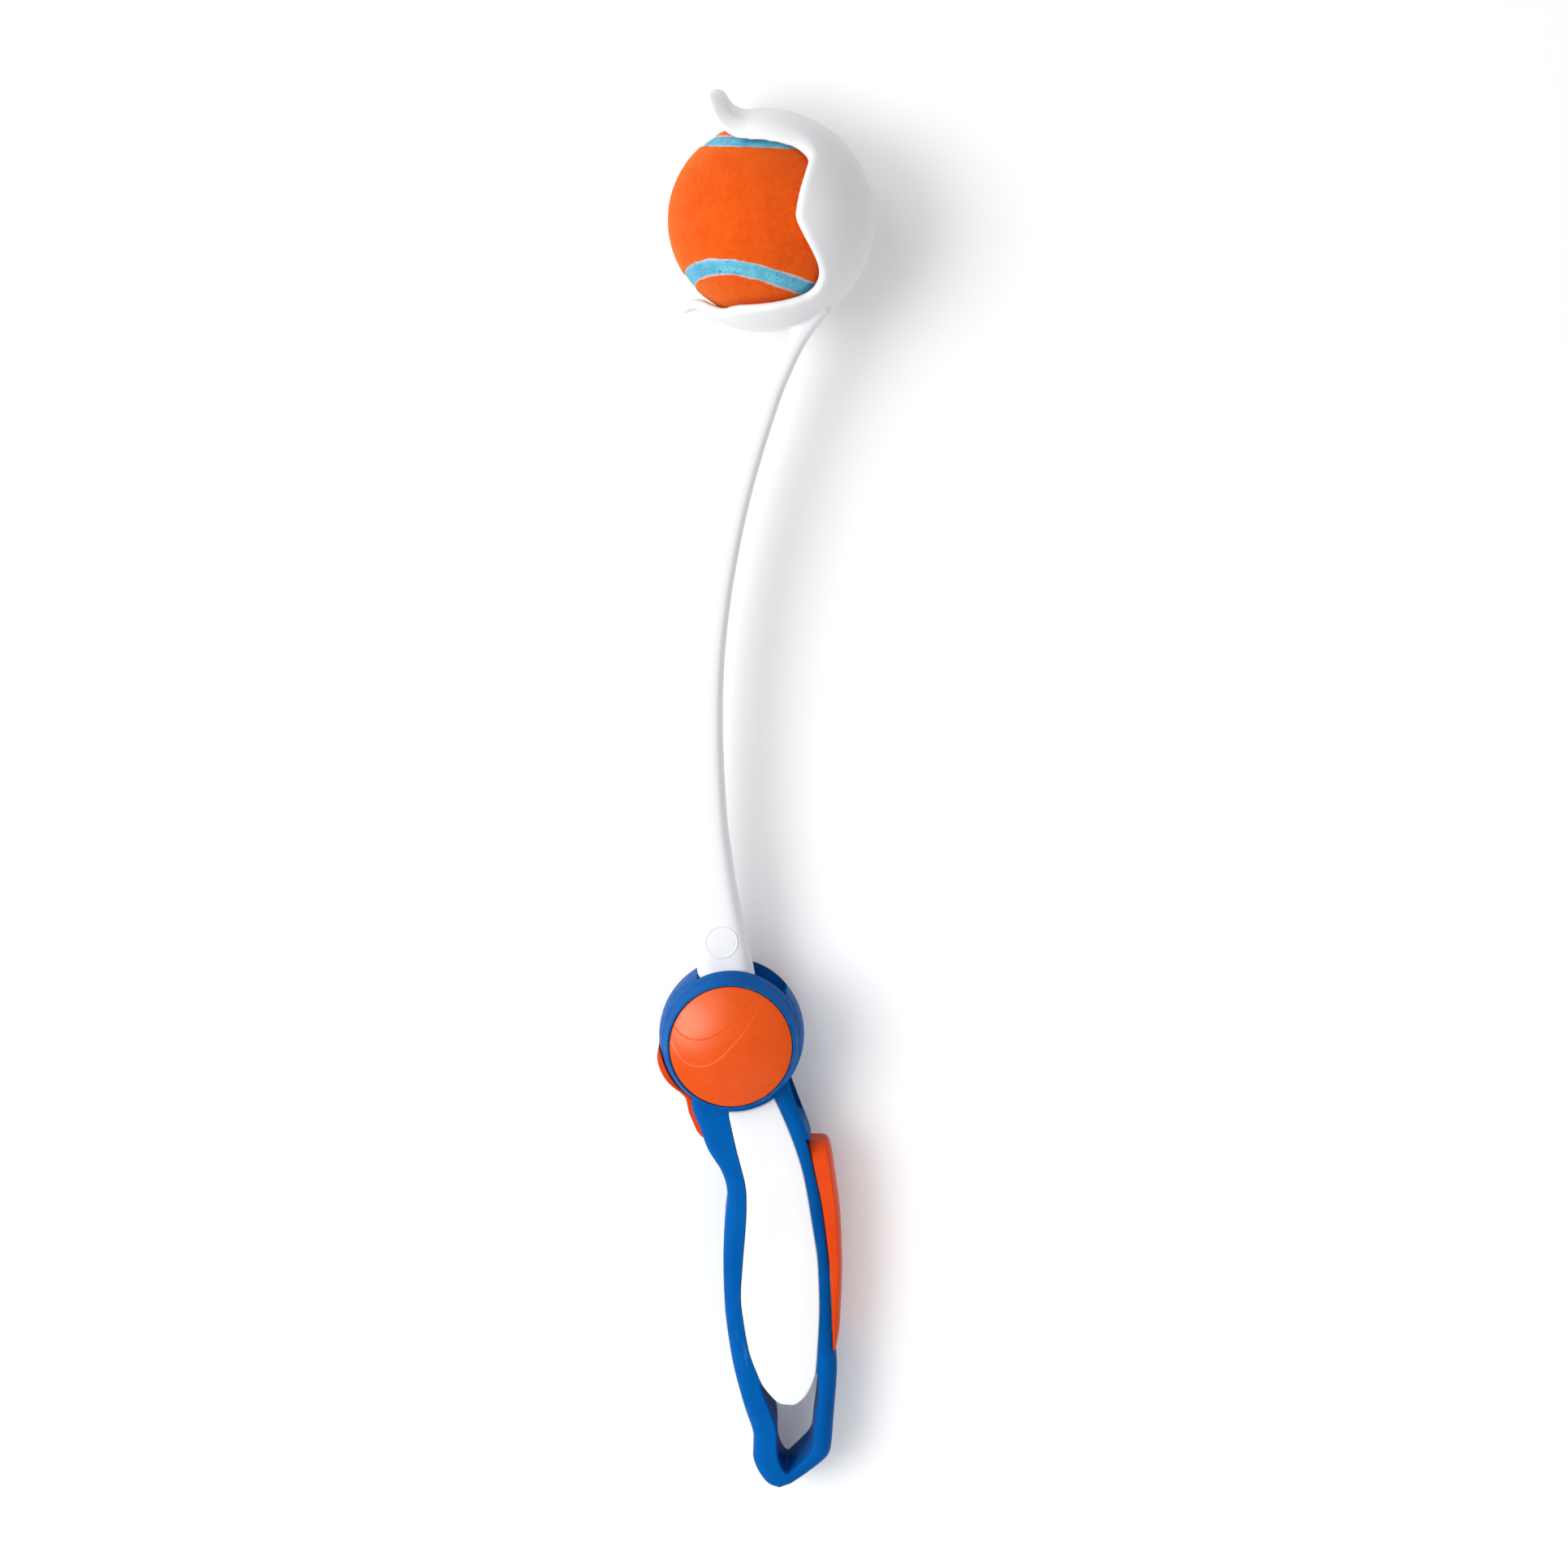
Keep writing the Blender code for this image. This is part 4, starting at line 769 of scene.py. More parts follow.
def throwing_arm():
    """The strap, its root with the eye on the axle, and the cup, moulded in one."""
    rows = np.array(smooth(ARM_ROWS, STRAP_STEPS))
    tangents = np.gradient(rows[:, :2], axis=0)
    tangents[: STRAP_STEPS + 1] = (0, 1)
    tangents = tangents / np.linalg.norm(tangents, axis=1)[:, None]
    to_end = np.linalg.norm(rows[:, :2] - rows[-1, :2], axis=1)
    rings = []
    for row, tangent, rest in zip(rows, tangents, to_end):
        flare = 1 + ARM_FLARE * max(0, 1 - rest / ARM_FLARE_L) ** 2
        aside = np.array((tangent[1], -tangent[0]))
        middle = row[:2] - aside * row[2] / 2
        ring = []
        for k in range(SECTION_POINTS):
            turn = 2 * math.pi * (k + 0.5) / SECTION_POINTS
            cosine, sine = math.cos(turn), math.sin(turn)
            across = math.copysign(abs(cosine) ** ARM_SQUARE, cosine) * row[2] / 2 * flare
            up = math.copysign(abs(sine) ** ARM_SQUARE, sine) * ARM_W / 2 * flare
            ring.append((*(middle + aside * across), up))
        rings.append(ring)
    arm = loft("arm_moulding", rings)
    ball = [(0, -CUP_MID_R)] + arc(-90, 90, CUP_MID_R, TRIM_STEPS + 1)[1:-1] + [(0, CUP_MID_R)]
    trim = turned("trim", ball, DRUM_SIDES, shut=False)
    trim.data.transform(Matrix.Translation(BALL_CENTRE))
    cut(arm, trim)
    join(arm, prism("eye", eye_outline(EYE_R), -EYE_W / 2, EYE_W / 2), cup())
    cut(arm, rod("eye_bore", AXLE_R + GAP, -EYE_W, EYE_W))
    with_modifier(arm, "REMESH", mode="VOXEL", voxel_size=MOULDING_VOXEL)
    return with_modifier(arm, "SMOOTH", factor=MOULDING_SOFTNESS, iterations=MOULDING_SMOOTHING)


def round_mark(arm):
    """A plain raised ring on the strap's front, that follows its surface."""
    tree = BVHTree.FromObject(arm, bpy.context.evaluated_depsgraph_get())
    rings = []
    for angle in np.arange(0, 360, 360 / MARK_RINGS):
        ring = []
        for aside, lift in MARK_SECTION:
            x, y = polar(angle, MARK_R + aside * MARK_RIDGE_W) + MARK_PLACE
            hit = tree.ray_cast(Vector((x, y, ARM_W)), Vector((0, 0, -1)))[0]
            ring.append((x, y, hit.z + lift * MARK_RIDGE))
        rings.append(ring)
    return loft("arm_round_mark", rings, capped=False)


def seam_point(turn):
    """A point of the seam's wave round a ball of radius 1."""
    b = SEAM_WAVE_SHARE
    a = 1 - b
    x = a * math.cos(turn) + b * math.cos(3 * turn)
    y = a * math.sin(turn) - b * math.sin(3 * turn)
    return Vector((x, y, 2 * math.sqrt(a * b) * math.sin(2 * turn)))


def ball_turn():
    axis = Vector(SEAM_TURN)
    return Matrix.Translation(BALL_CENTRE) @ Matrix.Rotation(axis.length, 4, axis)


def beside_seam(turn, distance):
    """A point on the ball of radius 1 at a distance to one side of the seam's middle line."""
    here = seam_point(turn)
    ahead = seam_point(turn + SEAM_STEP) - here
    across = here.cross(ahead).normalized()
    return (here + across * distance / BALL_R).normalized()


def wander(turn, side):
    """How far the felt's cut edge strays at a place along the seam."""
    here = seam_point(turn)
    broad = noise.noise(here * 5 + Vector((side * 7, 0, 3)))
    fine = noise.noise(here * 19 + Vector((0, side * 5, 9)))
    return EDGE_WANDER * (broad + 0.7 * fine)


def ripple(point, waves):
    """Noise summed over waves of a scale and a weight each."""
    return sum(noise.noise(point * scale) * weight for scale, weight in waves)


def with_borders(mesh, values):
    """Gives each vertex its nearness to the piece's cut border, which the material reads."""
    attribute = mesh.attributes.new("border", "FLOAT", "POINT")
    attribute.data.foreach_set("value", np.array(values, np.float32))


def cosine_steps(count):
    """Shares from 0 to 1 that crowd at both ends."""
    return [0.5 - 0.5 * math.cos(math.pi * k / count) for k in range(count + 1)]


def felt_faces(side):
    """Quads of the felt's outer face, of its inner one, and of the two borders between them."""
    count = FELT_COLUMNS + 1
    size = (FELT_ROWS + 1) * count
    faces = []
    for layer in (0, 1):
        for i in range(FELT_ROWS):
            for k in range(FELT_COLUMNS):
                first = layer * size + i * count + k
                quad = (first, first + 1, first + count + 1, first + count)
                faces.append(quad if layer == side else quad[::-1])
    for k in (0, FELT_COLUMNS):
        for i in range(FELT_ROWS):
            first = i * count + k
            faces.append((first, first + count, size + first + count, size + first))
    return faces


def felt(name, side):
    """One dumbbell panel of felt, with a napped face and a rolled, uneven border."""
    start = math.pi / 4 + side * math.pi / 2
    sign = 2 * side - 1
    points, borders = [], []
    for layer in (0, 1):
        for row in cosine_steps(FELT_ROWS):
            turn = start + math.pi * row
            turns = (turn, 2 * start - turn)
            a, b = (beside_seam(t, sign * (SEAM_W / 2 + wander(t, side))) for t in turns)
            width = a.angle(b, 0) * BALL_R
            tips = [beside_seam(t, sign * SEAM_W / 2) for t in (start, start + math.pi)]
            end_run = BALL_R * min((a - tip).length for tip in tips)
            for share in cosine_steps(FELT_COLUMNS):
                point = a.slerp(b, share).normalized() if width > WELD / 10 else a
                inside = min(share * width, (1 - share) * width, end_run + WELD)
                near = max(0, 1 - inside / FELT_EDGE_R)
                drop = near**2 * FELT_EDGE_R * FELT_EDGE_DROP
                face = BALL_R - drop + FELT_NAP * (ripple(point, FELT_NAP_WAVES) - 1)
                points.append(point * (BALL_R - FELT_T if layer else face))
                borders.append(1 if layer else near)
    mesh = bpy.data.meshes.new(name)
    mesh.from_pydata(points, [], felt_faces(side))
    with_borders(mesh, borders)
    bm = bmesh.new()
    bm.from_mesh(mesh)
    settled(bm, mesh).transform(ball_turn())
    return placed(name, mesh)


def ball_seam():
    """The lumpy rubber strip in the groove between the two felts."""
    rings, borders = [], []
    half = SEAM_W / 2 + SEAM_UNDER
    for i in range(SEAM_RINGS):
        turn = 2 * math.pi * i / SEAM_RINGS
        ring = []
        for k in range(SEAM_COLUMNS + 1):
            share = 2 * k / SEAM_COLUMNS - 1
            point = beside_seam(turn, share * half)
            sunk = SEAM_SINK + SEAM_HOLLOW * share**4
            ring.append(point * (BALL_R - sunk + SEAM_LUMP * ripple(point, SEAM_LUMP_WAVES)))
            borders.append(max(0, (abs(share * half) - SEAM_W / 2 + SEAM_BORDER) / SEAM_BORDER))
        for share in (1, -1):
            ring.append(beside_seam(turn, share * half) * (BALL_R - FELT_T))
            borders.append(1)
        rings.append(ring)
    obj = loft("ball_seam_strip", rings, capped=False)
    with_borders(obj.data, borders)
    obj.data.transform(ball_turn())
    return obj


def crown_r(height):
    """The hub's radius at a height: it swells towards its middle."""
    return HUB_R - (HUB_R - HUB_EDGE_R) * (height / HUB_EDGE_Z) ** 2


def sector(start, end, inner, outer, count):
    return arc(start, end, outer, count) + arc(end, start, inner, count)


def pivot_barrel():
    """The barrel between the cheeks, with the arm's pocket, the eye's slot and the tooth's groove."""
    recess = BARREL_HALF - THRUST_T - GAP
    crown = [(crown_r(z), z) for z in BARREL_HALF * np.array(BARREL_LEVELS)]
    crown[0], crown[-1] = ((r - HUB_BEVEL, z) for r, z in (crown[0], crown[-1]))
    lower = [(AXLE_R + GAP, -recess), (THRUST_R + GAP, -recess), (THRUST_R + GAP, -BARREL_HALF)]
    upper = [(THRUST_R + GAP, BARREL_HALF), (THRUST_R + GAP, recess), (AXLE_R + GAP, recess)]
    barrel = turned("pivot_barrel_moulding", lower + crown + upper, DRUM_SIDES)
    left = ARM_ROOT_BACK - ARM_ROOT_T - INLAY_GAP
    right = POCKET_RIGHT + POCKET_SLANT
    top = HUB_R + OVERRUN
    slant_y = ARM_ROOT_FLOOR + 2 * POCKET_SLANT
    pocket = [(left, top), (left, ARM_ROOT_FLOOR), (POCKET_RIGHT, ARM_ROOT_FLOOR)]
    pocket += [(right, slant_y), (right, top)]
    slot_half = EYE_W / 2 + GAP
    groove_half = TOOTH_W / 2 + GAP
    groove_r = HUB_R - TOOTH_DROP - GAP
    first = TOOTH_ANGLE - 2 * TOOTH_SPREAD
    last = TOOTH_ANGLE + FOLD_MAX + 2 * TOOTH_SPREAD
    outside = HUB_R + OVERRUN
    groove = sector(first, last, groove_r, outside, BARREL_GROOVE_STEPS)
    cut(
        barrel,
        prism("pocket", pocket, -HUB_R, HUB_R),
        prism("slot", eye_outline(EYE_R + GAP), -slot_half, slot_half),
        prism("groove", groove, -groove_half, groove_half),
    )
    for middle in (TOOTH_ANGLE, TOOTH_ANGLE + FOLD_MAX):
        ends = (middle - NOTCH_SPREAD * TOOTH_SPREAD, middle + NOTCH_SPREAD * TOOTH_SPREAD)
        notch = sector(*ends, groove_r - NOTCH_DROP, outside, 5)
        cut(barrel, prism("notch", notch, -groove_half, groove_half))
    return barrel


def cheek(bezel_z):
    """A disc beside the barrel with a rounded bezel round the cap's seat."""
    ledge = bezel_z - CAP_SEAT
    seat_r = BEZEL_LIP_R - BEZEL_LIP
    low = CHEEK_Z - GAP
    profile = [(AXLE_R + GAP, low)]
    profile += [(crown_r(z), z) for z in np.linspace(low, HUB_EDGE_Z - HUB_BEVEL, 6)]
    profile += [(HUB_EDGE_R + out, HUB_EDGE_Z + up) for out, up in HUB_RIM_STEPS]
    for inset, drop in rounding(BEZEL_ROUND, 4)[1:]:
        profile.append((BEZEL_LIP_R + BEZEL_PROUD - inset, bezel_z - drop))
    profile += [
        (seat_r + BEZEL_BEVEL, bezel_z), (seat_r, bezel_z - BEZEL_BEVEL), (seat_r, ledge),
        (HUB_WELL_R, ledge), (HUB_WELL_R, WEB_Z), (AXLE_R + GAP, WEB_Z),
    ]
    return turned("cheek", profile, DRUM_SIDES)


def lever_recess():
    """The outline of the flank's recess that the lever lies and rocks in."""
    top, bottom = (along(s) for s in LEVER_ROOM_SHARES)
    outside = -HANDLE_BACK
    ear_r = LEVER_EAR_R + 2 * GAP
    heights = np.linspace(bottom, LEVER_PIVOT[1] - ear_r, FLANK_STEPS)
    ear = arc(-60, 60, ear_r, 9, LEVER_PIVOT)
    flank = beside(left_x, heights, LEVER_ROOM)
    return [(outside, top), (outside, bottom)] + flank + ear + [(LEVER_PIVOT[0], top)]


def half_handle(name):
    """The solid front half of the handle, with its edge rounded."""
    outline = HANDLE_OUTLINE
    at_back = np.arange(len(outline)) > len(LEFT_CURVE) - CURVE_STEPS
    at_back = at_back & (np.array(outline)[:, 1] < along(CLIP_SEAT_SHARES[0][0]))
    room = fillet_room(outline, np.where(at_back, BACK_ROUND, HANDLE_ROUND))
    steps = [(offset(outline, -PARTING_BEVEL), GAP / 2), (outline, GAP / 2 + PARTING_BEVEL)]
    steps += [(offset(outline, -inset), HANDLE_HALF - drop) for inset, drop in rounding(room, ROUND_STEPS)]
    return stack(name, steps)


def loop_hole():
    """The hole of the hanging loop, wider at both of its mouths."""
    loop = smooth(scaled(LOOP_SHARES), CURVE_STEPS, closed=True)
    wider = offset(loop, PARTING_BEVEL)
    steps = [(wider, -GAP), (wider, GAP / 2), (loop, GAP / 2 + PARTING_BEVEL)]
    for turn in np.radians(LOOP_ROUND_TURNS):
        level = HANDLE_HALF - LOOP_ROUND * (1 - math.sin(turn))
        steps.append((offset(loop, LOOP_ROUND * (1 - math.cos(turn))), level))
    steps.append((offset(loop, LOOP_MOUTH * LOOP_ROUND), HANDLE_HALF + GAP))
    return stack("loop", steps)


def handle_cavity():
    """The handle's hollow, which leaves the screws' bosses standing."""
    top, bottom = (along(s) for s in CAVITY_SHARES)
    heights = np.linspace(top, bottom, CAVITY_STEPS)
    sides = beside(left_x, heights, HANDLE_WALL) + beside(right_x, heights[::-1], -HANDLE_WALL)
    cavity = prism("cavity", sides, -OVERRUN, ROOF_Z)
    for place in SCREW_PLACES:
        cut(cavity, rod("boss", BOSS_R, -2 * OVERRUN, HANDLE_D, place, SCREW_SIDES))
    return cavity


def screw_holes(front):
    """Pilot holes in the front shell; holes and counterbores under the rear inlay."""
    holes = []
    for place in SCREW_PLACES:
        if front:
            end = SCREW_GRIP - (RECESS_Z - GAP - SCREW_HEAD_T) + GAP
            holes.append(rod("pilot", SCREW_R + GAP, -OVERRUN, end, place, SCREW_SIDES))
            continue
        under = RECESS_Z - SCREW_HEAD_T - 2 * GAP
        holes.append(rod("screw_hole", SCREW_R + GAP, -OVERRUN, HANDLE_D, place, SCREW_SIDES))
        holes.append(rod("counterbore", SCREW_HEAD_R + GAP, under, HANDLE_D, place, SCREW_SIDES))
    return holes


def lever_rooms():
    """What the lock lever, its pin and its spring take out of a shell."""
    spring_y = along(SPRING_SHARE)
    floor_x = left_x(spring_y) + GAP + LEVER_LIFT + SPRING_L + GAP
    pocket = rod("spring_pocket", SPRING_R + 2 * GAP, -SPRING_L, 0)
    lying = Matrix.Rotation(math.radians(90), 4, "Y")
    pocket.data.transform(Matrix.Translation((floor_x, spring_y, 0)) @ lying)
    room = prism("lever_room", lever_recess(), -OVERRUN, LEVER_W / 2 + GAP)
    pin_end = LEVER_PIN_L / 2 + GAP
    return room, rod("pin_hole", LEVER_PIN_R + GAP, -OVERRUN, pin_end, LEVER_PIVOT, SCREW_SIDES), pocket


def clip_bar(reach, half):
    """The outline of a bar that runs out from the clip's pivot."""
    return [CLIP_PIVOT + p for p in ((0, -half), (reach, -half), (reach, half), (0, half))]


def clip_rooms():
    """What the belt clip's bead, neck and leaf take out of a shell."""
    bead_half = CLIP_BEAD_W / 2 + GAP
    bar = clip_bar(HANDLE_BACK, CLIP_NECK_T / 2 + CLIP_SWING_ROOM)
    first, last = (along(CLIP_SEAT_SHARES[i][0]) for i in (0, -1))
    lead = CLIP_SEAT_LEAD
    seat = []
    for z, raised in ((-OVERRUN, 0), (HANDLE_HALF - BACK_ROUND, 0), (HANDLE_HALF, lead), (HANDLE_D, lead)):
        heights = np.linspace(first + raised, last, CLIP_SEAT_STEPS)
        seat.append((beside(seat_x, heights) + beside(right_x, heights[::-1], OVERRUN), z))
    socket = rod("bead_socket", CLIP_BEAD_R + GAP, -OVERRUN, bead_half, CLIP_PIVOT)
    return socket, prism("bead_slot", bar, -OVERRUN, bead_half), stack("clip_seat", seat)


def handle_shell(name, bezel_z, front):
    """Half of the handle, drawn as the front half; the rear one is mirrored."""
    shell = join(half_handle(name), cheek(bezel_z))
    cut(
        shell,
        rod("chamber", CHAMBER_R, -OVERRUN, CHEEK_Z, sides=DRUM_SIDES),
        prism("neck_room", swept_arm_outline(), -OVERRUN, CHEEK_Z),
        prism("recess", panel_outline(INLAY_GAP), RECESS_Z, HANDLE_HALF + OVERRUN),
        loop_hole(),
    )
    cut(shell, handle_cavity(), *screw_holes(front), *lever_rooms(), *clip_rooms())
    return shell if front else mirrored(shell)


def panel(name, front):
    """The inlay: rounded at its border, and crowned a little over its whole face."""
    outline = panel_outline(0)
    top = HANDLE_HALF + PANEL_PROUD - PANEL_CROWN
    rings = [[(x, y, top - PANEL_T + PANEL_CROWN) for x, y in outline]]
    for inset, drop in rounding(PANEL_ROUND, 5):
        rings.append([(x, y, top - drop) for x, y in offset(outline, -inset)])
    bm = bmesh.new()
    loops = [[bm.verts.new(p) for p in ring] for ring in rings]
    for low, high in zip(loops, loops[1:]):
        band(bm, low, high)
    bm.faces.new(reversed(loops[0]))
    border = np.array(rings[-1])[:, :2]
    across, up = (np.arange(low, high, PANEL_GRID) for low, high in zip(border.min(0), border.max(0)))
    grid = [(x, y) for x in across for y in up]
    away = np.linalg.norm(np.array(grid)[:, None] - border[None], axis=2).min(1)
    points = [Vector(p) for p in border]
    points += [Vector(p) for p, d in zip(grid, away) if d > PANEL_GRID_CLEAR * PANEL_GRID]
    order = list(range(len(border)))
    edges = list(zip(order, order[1:] + order[:1]))
    found, _, faces, origins, _, _ = delaunay_2d_cdt(points, edges, [order], 1, WELD / 100)
    verts = []
    for p, source in zip(found, origins):
        if source and source[0] < len(border):
            verts.append(loops[-1][source[0]])
            continue
        rest = max(0, 1 - np.linalg.norm(border - np.array(p), axis=1).min() / PANEL_CROWN_RUN)
        verts.append(bm.verts.new((p[0], p[1], top + PANEL_CROWN * (1 - rest**2))))
    for face in faces:
        bm.faces.new([verts[k] for k in face])
    obj = made(name, bm)
    return obj if front else mirrored(obj)


def line_distance(points, line):
    """How far each point is from a polyline, and on which side of it."""
    best = np.full(len(points), np.inf)
    side = np.ones(len(points))
    for a, b in zip(line, line[1:]):
        run = b - a
        t = np.clip((points - a) @ run / (run @ run), 0, 1)
        away = points - a - t[:, None] * run
        distance = np.linalg.norm(away, axis=1)
        nearer = distance < best
        best = np.where(nearer, distance, best)
        side = np.where(nearer, np.sign(run[0] * away[:, 1] - run[1] * away[:, 0]), side)
    return best * side


def round_grid(cells, radius):
    """A square grid drawn into a disc, row by row."""
    grid = np.linspace(-1, 1, cells + 1)
    a, b = (m.ravel() for m in np.meshgrid(grid, grid, indexing="ij"))
    wide = np.abs(a) > np.abs(b)
    safe_a = np.where(a == 0, 1, a)
    safe_b = np.where(b == 0, 1, b)
    reach = np.where(wide, a, b)
    turn = np.where(wide, math.pi / 4 * b / safe_a, math.pi / 2 - math.pi / 4 * a / safe_b)
    return np.stack((reach * np.cos(turn), reach * np.sin(turn)), 1) * radius


def seam_sink(flat, upper, lower):
    """How deep the cap's face is sunk between two lines, with a soft slope at both."""
    inside = [
        sign * line_distance(flat, np.array(smooth(line, SHORT_STEPS)) / 1000)
        for sign, line in ((1, upper), (-1, lower))
    ]
    deep = np.clip(np.minimum(*inside) / GROOVE_SLOPE + 0.5, 0, 1)
    return GROOVE * deep * deep * (3 - 2 * deep)


def cap(name, bezel_z, rise, front):
    """A domed cap with the sunk seams of a tennis ball."""
    radius = BEZEL_LIP_R - BEZEL_LIP - GAP
    base = bezel_z - CAP_SEAT + GAP
    crown = (radius**2 + rise**2) / (2 * rise)
    centre = bezel_z + rise - crown
    flat = round_grid(CAP_GRID, radius - CAP_ROUND * CAP_RIM_SHARES[-1][0])
    height = centre + np.sqrt(crown**2 - np.sum(flat**2, 1))
    for upper, lower in CAP_SEAMS:
        height = height - seam_sink(flat, upper, lower)
    bm = bmesh.new()
    count = CAP_GRID + 1
    verts = [bm.verts.new((x, y, z)) for (x, y), z in zip(flat, height)]
    for i in range(CAP_GRID):
        for j in range(CAP_GRID):
            first = i * count + j
            corners = (first, first + count, first + count + 1, first + 1)
            bm.faces.new([verts[k] for k in corners])
    border = [i * count for i in range(CAP_GRID)]
    border += [CAP_GRID * count + j for j in range(CAP_GRID)]
    border += [i * count + CAP_GRID for i in range(CAP_GRID, 0, -1)]
    border += [j for j in range(CAP_GRID, 0, -1)]
    last = [verts[k] for k in border]
    for grow, drop in CAP_RIM_SHARES:
        ring = []
        for k in border:
            x, y = flat[k] * (1 + grow * CAP_ROUND / radius)
            ring.append(bm.verts.new((x, y, base if drop is None else height[k] - drop * CAP_ROUND)))
        band(bm, last, ring)
        last = ring
    bm.faces.new(last)
    obj = made(name, bm)
    return obj if front else mirrored(obj)


def lever_hook():
    """The lever's end that lies round the hub, as wide as the barrel and thin at its tip."""
    edge = LEVER_ROUND
    rings = []
    for angle, wide, share in smooth(LEVER_HOOK_SHARES, 6):
        half = wide * LEVER_HOOK_HALF
        out = CHAMBER_R + share * LEVER_T
        side = [(crown_r(half) + RUN_GAP + edge / 2, half)]
        side += [(out - drop, half - inset) for inset, drop in rounding(edge, 3)]
        section = [(crown_r(z) + RUN_GAP, z) for z in np.linspace(-half + edge / 2, half - edge / 2, 9)]
        section += side + [(r, -z) for r, z in reversed(side)]
        rings.append([(*polar(angle, r), z) for r, z in section])
    return loft("hook", rings)


def lock_lever():
    """The rocker: an arm round the barrel with the tooth, the ear on its pin, and the thumb's arm."""
    steps = SHORT_STEPS
    outer = [polar(a, CHAMBER_R + s * LEVER_T) for a, s in smooth(LEVER_ARC_SHARES, steps)]
    thumb = [np.array((left_x(along(y)) - s * LEVER_T, along(y))) for y, s in smooth(LEVER_SHARES, steps)]
    bridge = smooth([outer[-1 - steps], outer[-1], thumb[0], thumb[steps]], steps)[steps + 1 : -1 - steps]
    heights = np.linspace(along(LEVER_SHARES[-1][0]), LEVER_PIVOT[1] - LEVER_EAR_R, 6)
    inner = beside(left_x, heights, GAP / 2)
    ear = arc(-70, 70, LEVER_EAR_R, 12, LEVER_PIVOT)
    grip = arc(LEVER_ARC_SHARES[-1][0] + 4, LEVER_ARC_SHARES[0][0], CHAMBER_R, 24)
    half = LEVER_W / 2
    lever = prism("lock_lever_moulding", outer + bridge + thumb + inner + ear + grip, -half, half)
    sharp = math.radians(50)
    with_modifier(lever, "BEVEL", width=LEVER_ROUND, segments=3, limit_method="ANGLE", angle_limit=sharp)
    ends = (TOOTH_ANGLE - TOOTH_SPREAD, TOOTH_ANGLE + TOOTH_SPREAD)
    tooth = sector(*ends, HUB_R - TOOTH_DROP, CHAMBER_R + LEVER_T / 2, 5)
    join(lever, lever_hook(), prism("tooth", tooth, -TOOTH_W / 2, TOOTH_W / 2))
    return cut(lever, rod("ear_bore", LEVER_PIN_R + GAP, -LEVER_W, LEVER_W, LEVER_PIVOT, SCREW_SIDES))


def clip_half(y):
    """Half the clip's width at the height y: its free end is rounded."""
    down = min(max(along(CLIP_SHARES[0][0]) - y, 0), CLIP_END_R)
    return CLIP_W / 2 - CLIP_END_R + math.sqrt(CLIP_END_R**2 - (CLIP_END_R - down) ** 2)


def clip_pocket():
    """The hollow in the clip's back."""
    top, bottom = (along(s) for s in CLIP_POCKET_SHARES)
    heights = np.linspace(top, bottom, CLIP_POCKET_STEPS)
    table = [(along(p), s * CLIP_T) for p, s in CLIP_SHARES]
    deep = [(right_x(y) + CLIP_SEAT_GAP + read_off(y, table) - CLIP_SKIN, y) for y in heights]
    room = CLIP_W / 2 - CLIP_SKIN
    return prism("clip_pocket", deep + beside(right_x, heights[::-1], -OVERRUN), -room, room)


def belt_clip():
    """A crowned leaf along the handle's back, hollow behind, with a bead that snaps into the shells."""
    rings = []
    section = smooth([(w, c) for w, c in reversed(CLIP_SECTION_SHARES)], 3)
    section = section + [np.array((-w, c)) for w, c in reversed(section[:-1])]
    end, leaf = (smooth(s, SHORT_STEPS) for s in (CLIP_SHARES[: CLIP_BREAK + 1], CLIP_SHARES[CLIP_BREAK:]))
    for place, share in end[:-1] + leaf:
        y = along(place)
        half = clip_half(y)
        inner = seat_x(y) + CLIP_SEAT_GAP
        outer = right_x(y) + CLIP_SEAT_GAP + share * CLIP_T
        crown = min(CLIP_CROWN, CLIP_CROWN_SHARE * (outer - inner))
        edge = min(CLIP_EDGE_R, CLIP_EDGE_SHARE * (outer - inner))
        ring = []
        for side in (-1, 1):
            ring += [(inner + inset, y, side * (half - drop)) for inset, drop in rounding(edge, 4)[::side]]
        ring += [(outer - c * crown, y, w * half) for w, c in section]
        rings.append(ring)
    clip = cut(loft("belt_clip_moulding", rings), clip_pocket())
    reach = seat_x(CLIP_PIVOT[1]) + CLIP_SEAT_GAP + GAP - CLIP_PIVOT[0]
    half = CLIP_BEAD_W / 2
    foot = prism("foot", clip_bar(reach, CLIP_NECK_T / 2), -half, half)
    return join(clip, join(foot, rod("bead", CLIP_BEAD_R, -half, half, CLIP_PIVOT)))


# Materials

SOFT_EDGE_R = 0.0004
ROUGH_SPREAD = 0.035


def feed(target, **inputs):
    """Links or sets a node's inputs: _ in a name stands for a space, and i0, i1 ... for an index."""
    for key, value in inputs.items():
        socket = target.inputs[int(key[1:]) if key[1:].isdigit() else key.replace("_", " ")]
        if isinstance(value, bpy.types.NodeSocket):
            target.id_data.links.new(value, socket)
        else:
            socket.default_value = value
    return target


def node(near, kind, settings=None, **inputs):
    """A new shader node in the tree of another node or socket."""
    added = near.id_data.nodes.new("ShaderNode" + kind)
    for key, value in (settings or {}).items():
        setattr(added, key, value)
    return feed(added, **inputs)


def started(name):
    """A new material with its shader and the place on the object."""
    look = bpy.data.materials.new(name)
    look.use_nodes = True
    shader = look.node_tree.nodes["Principled BSDF"]
    return look, shader, node(shader, "TexCoord").outputs["Object"]


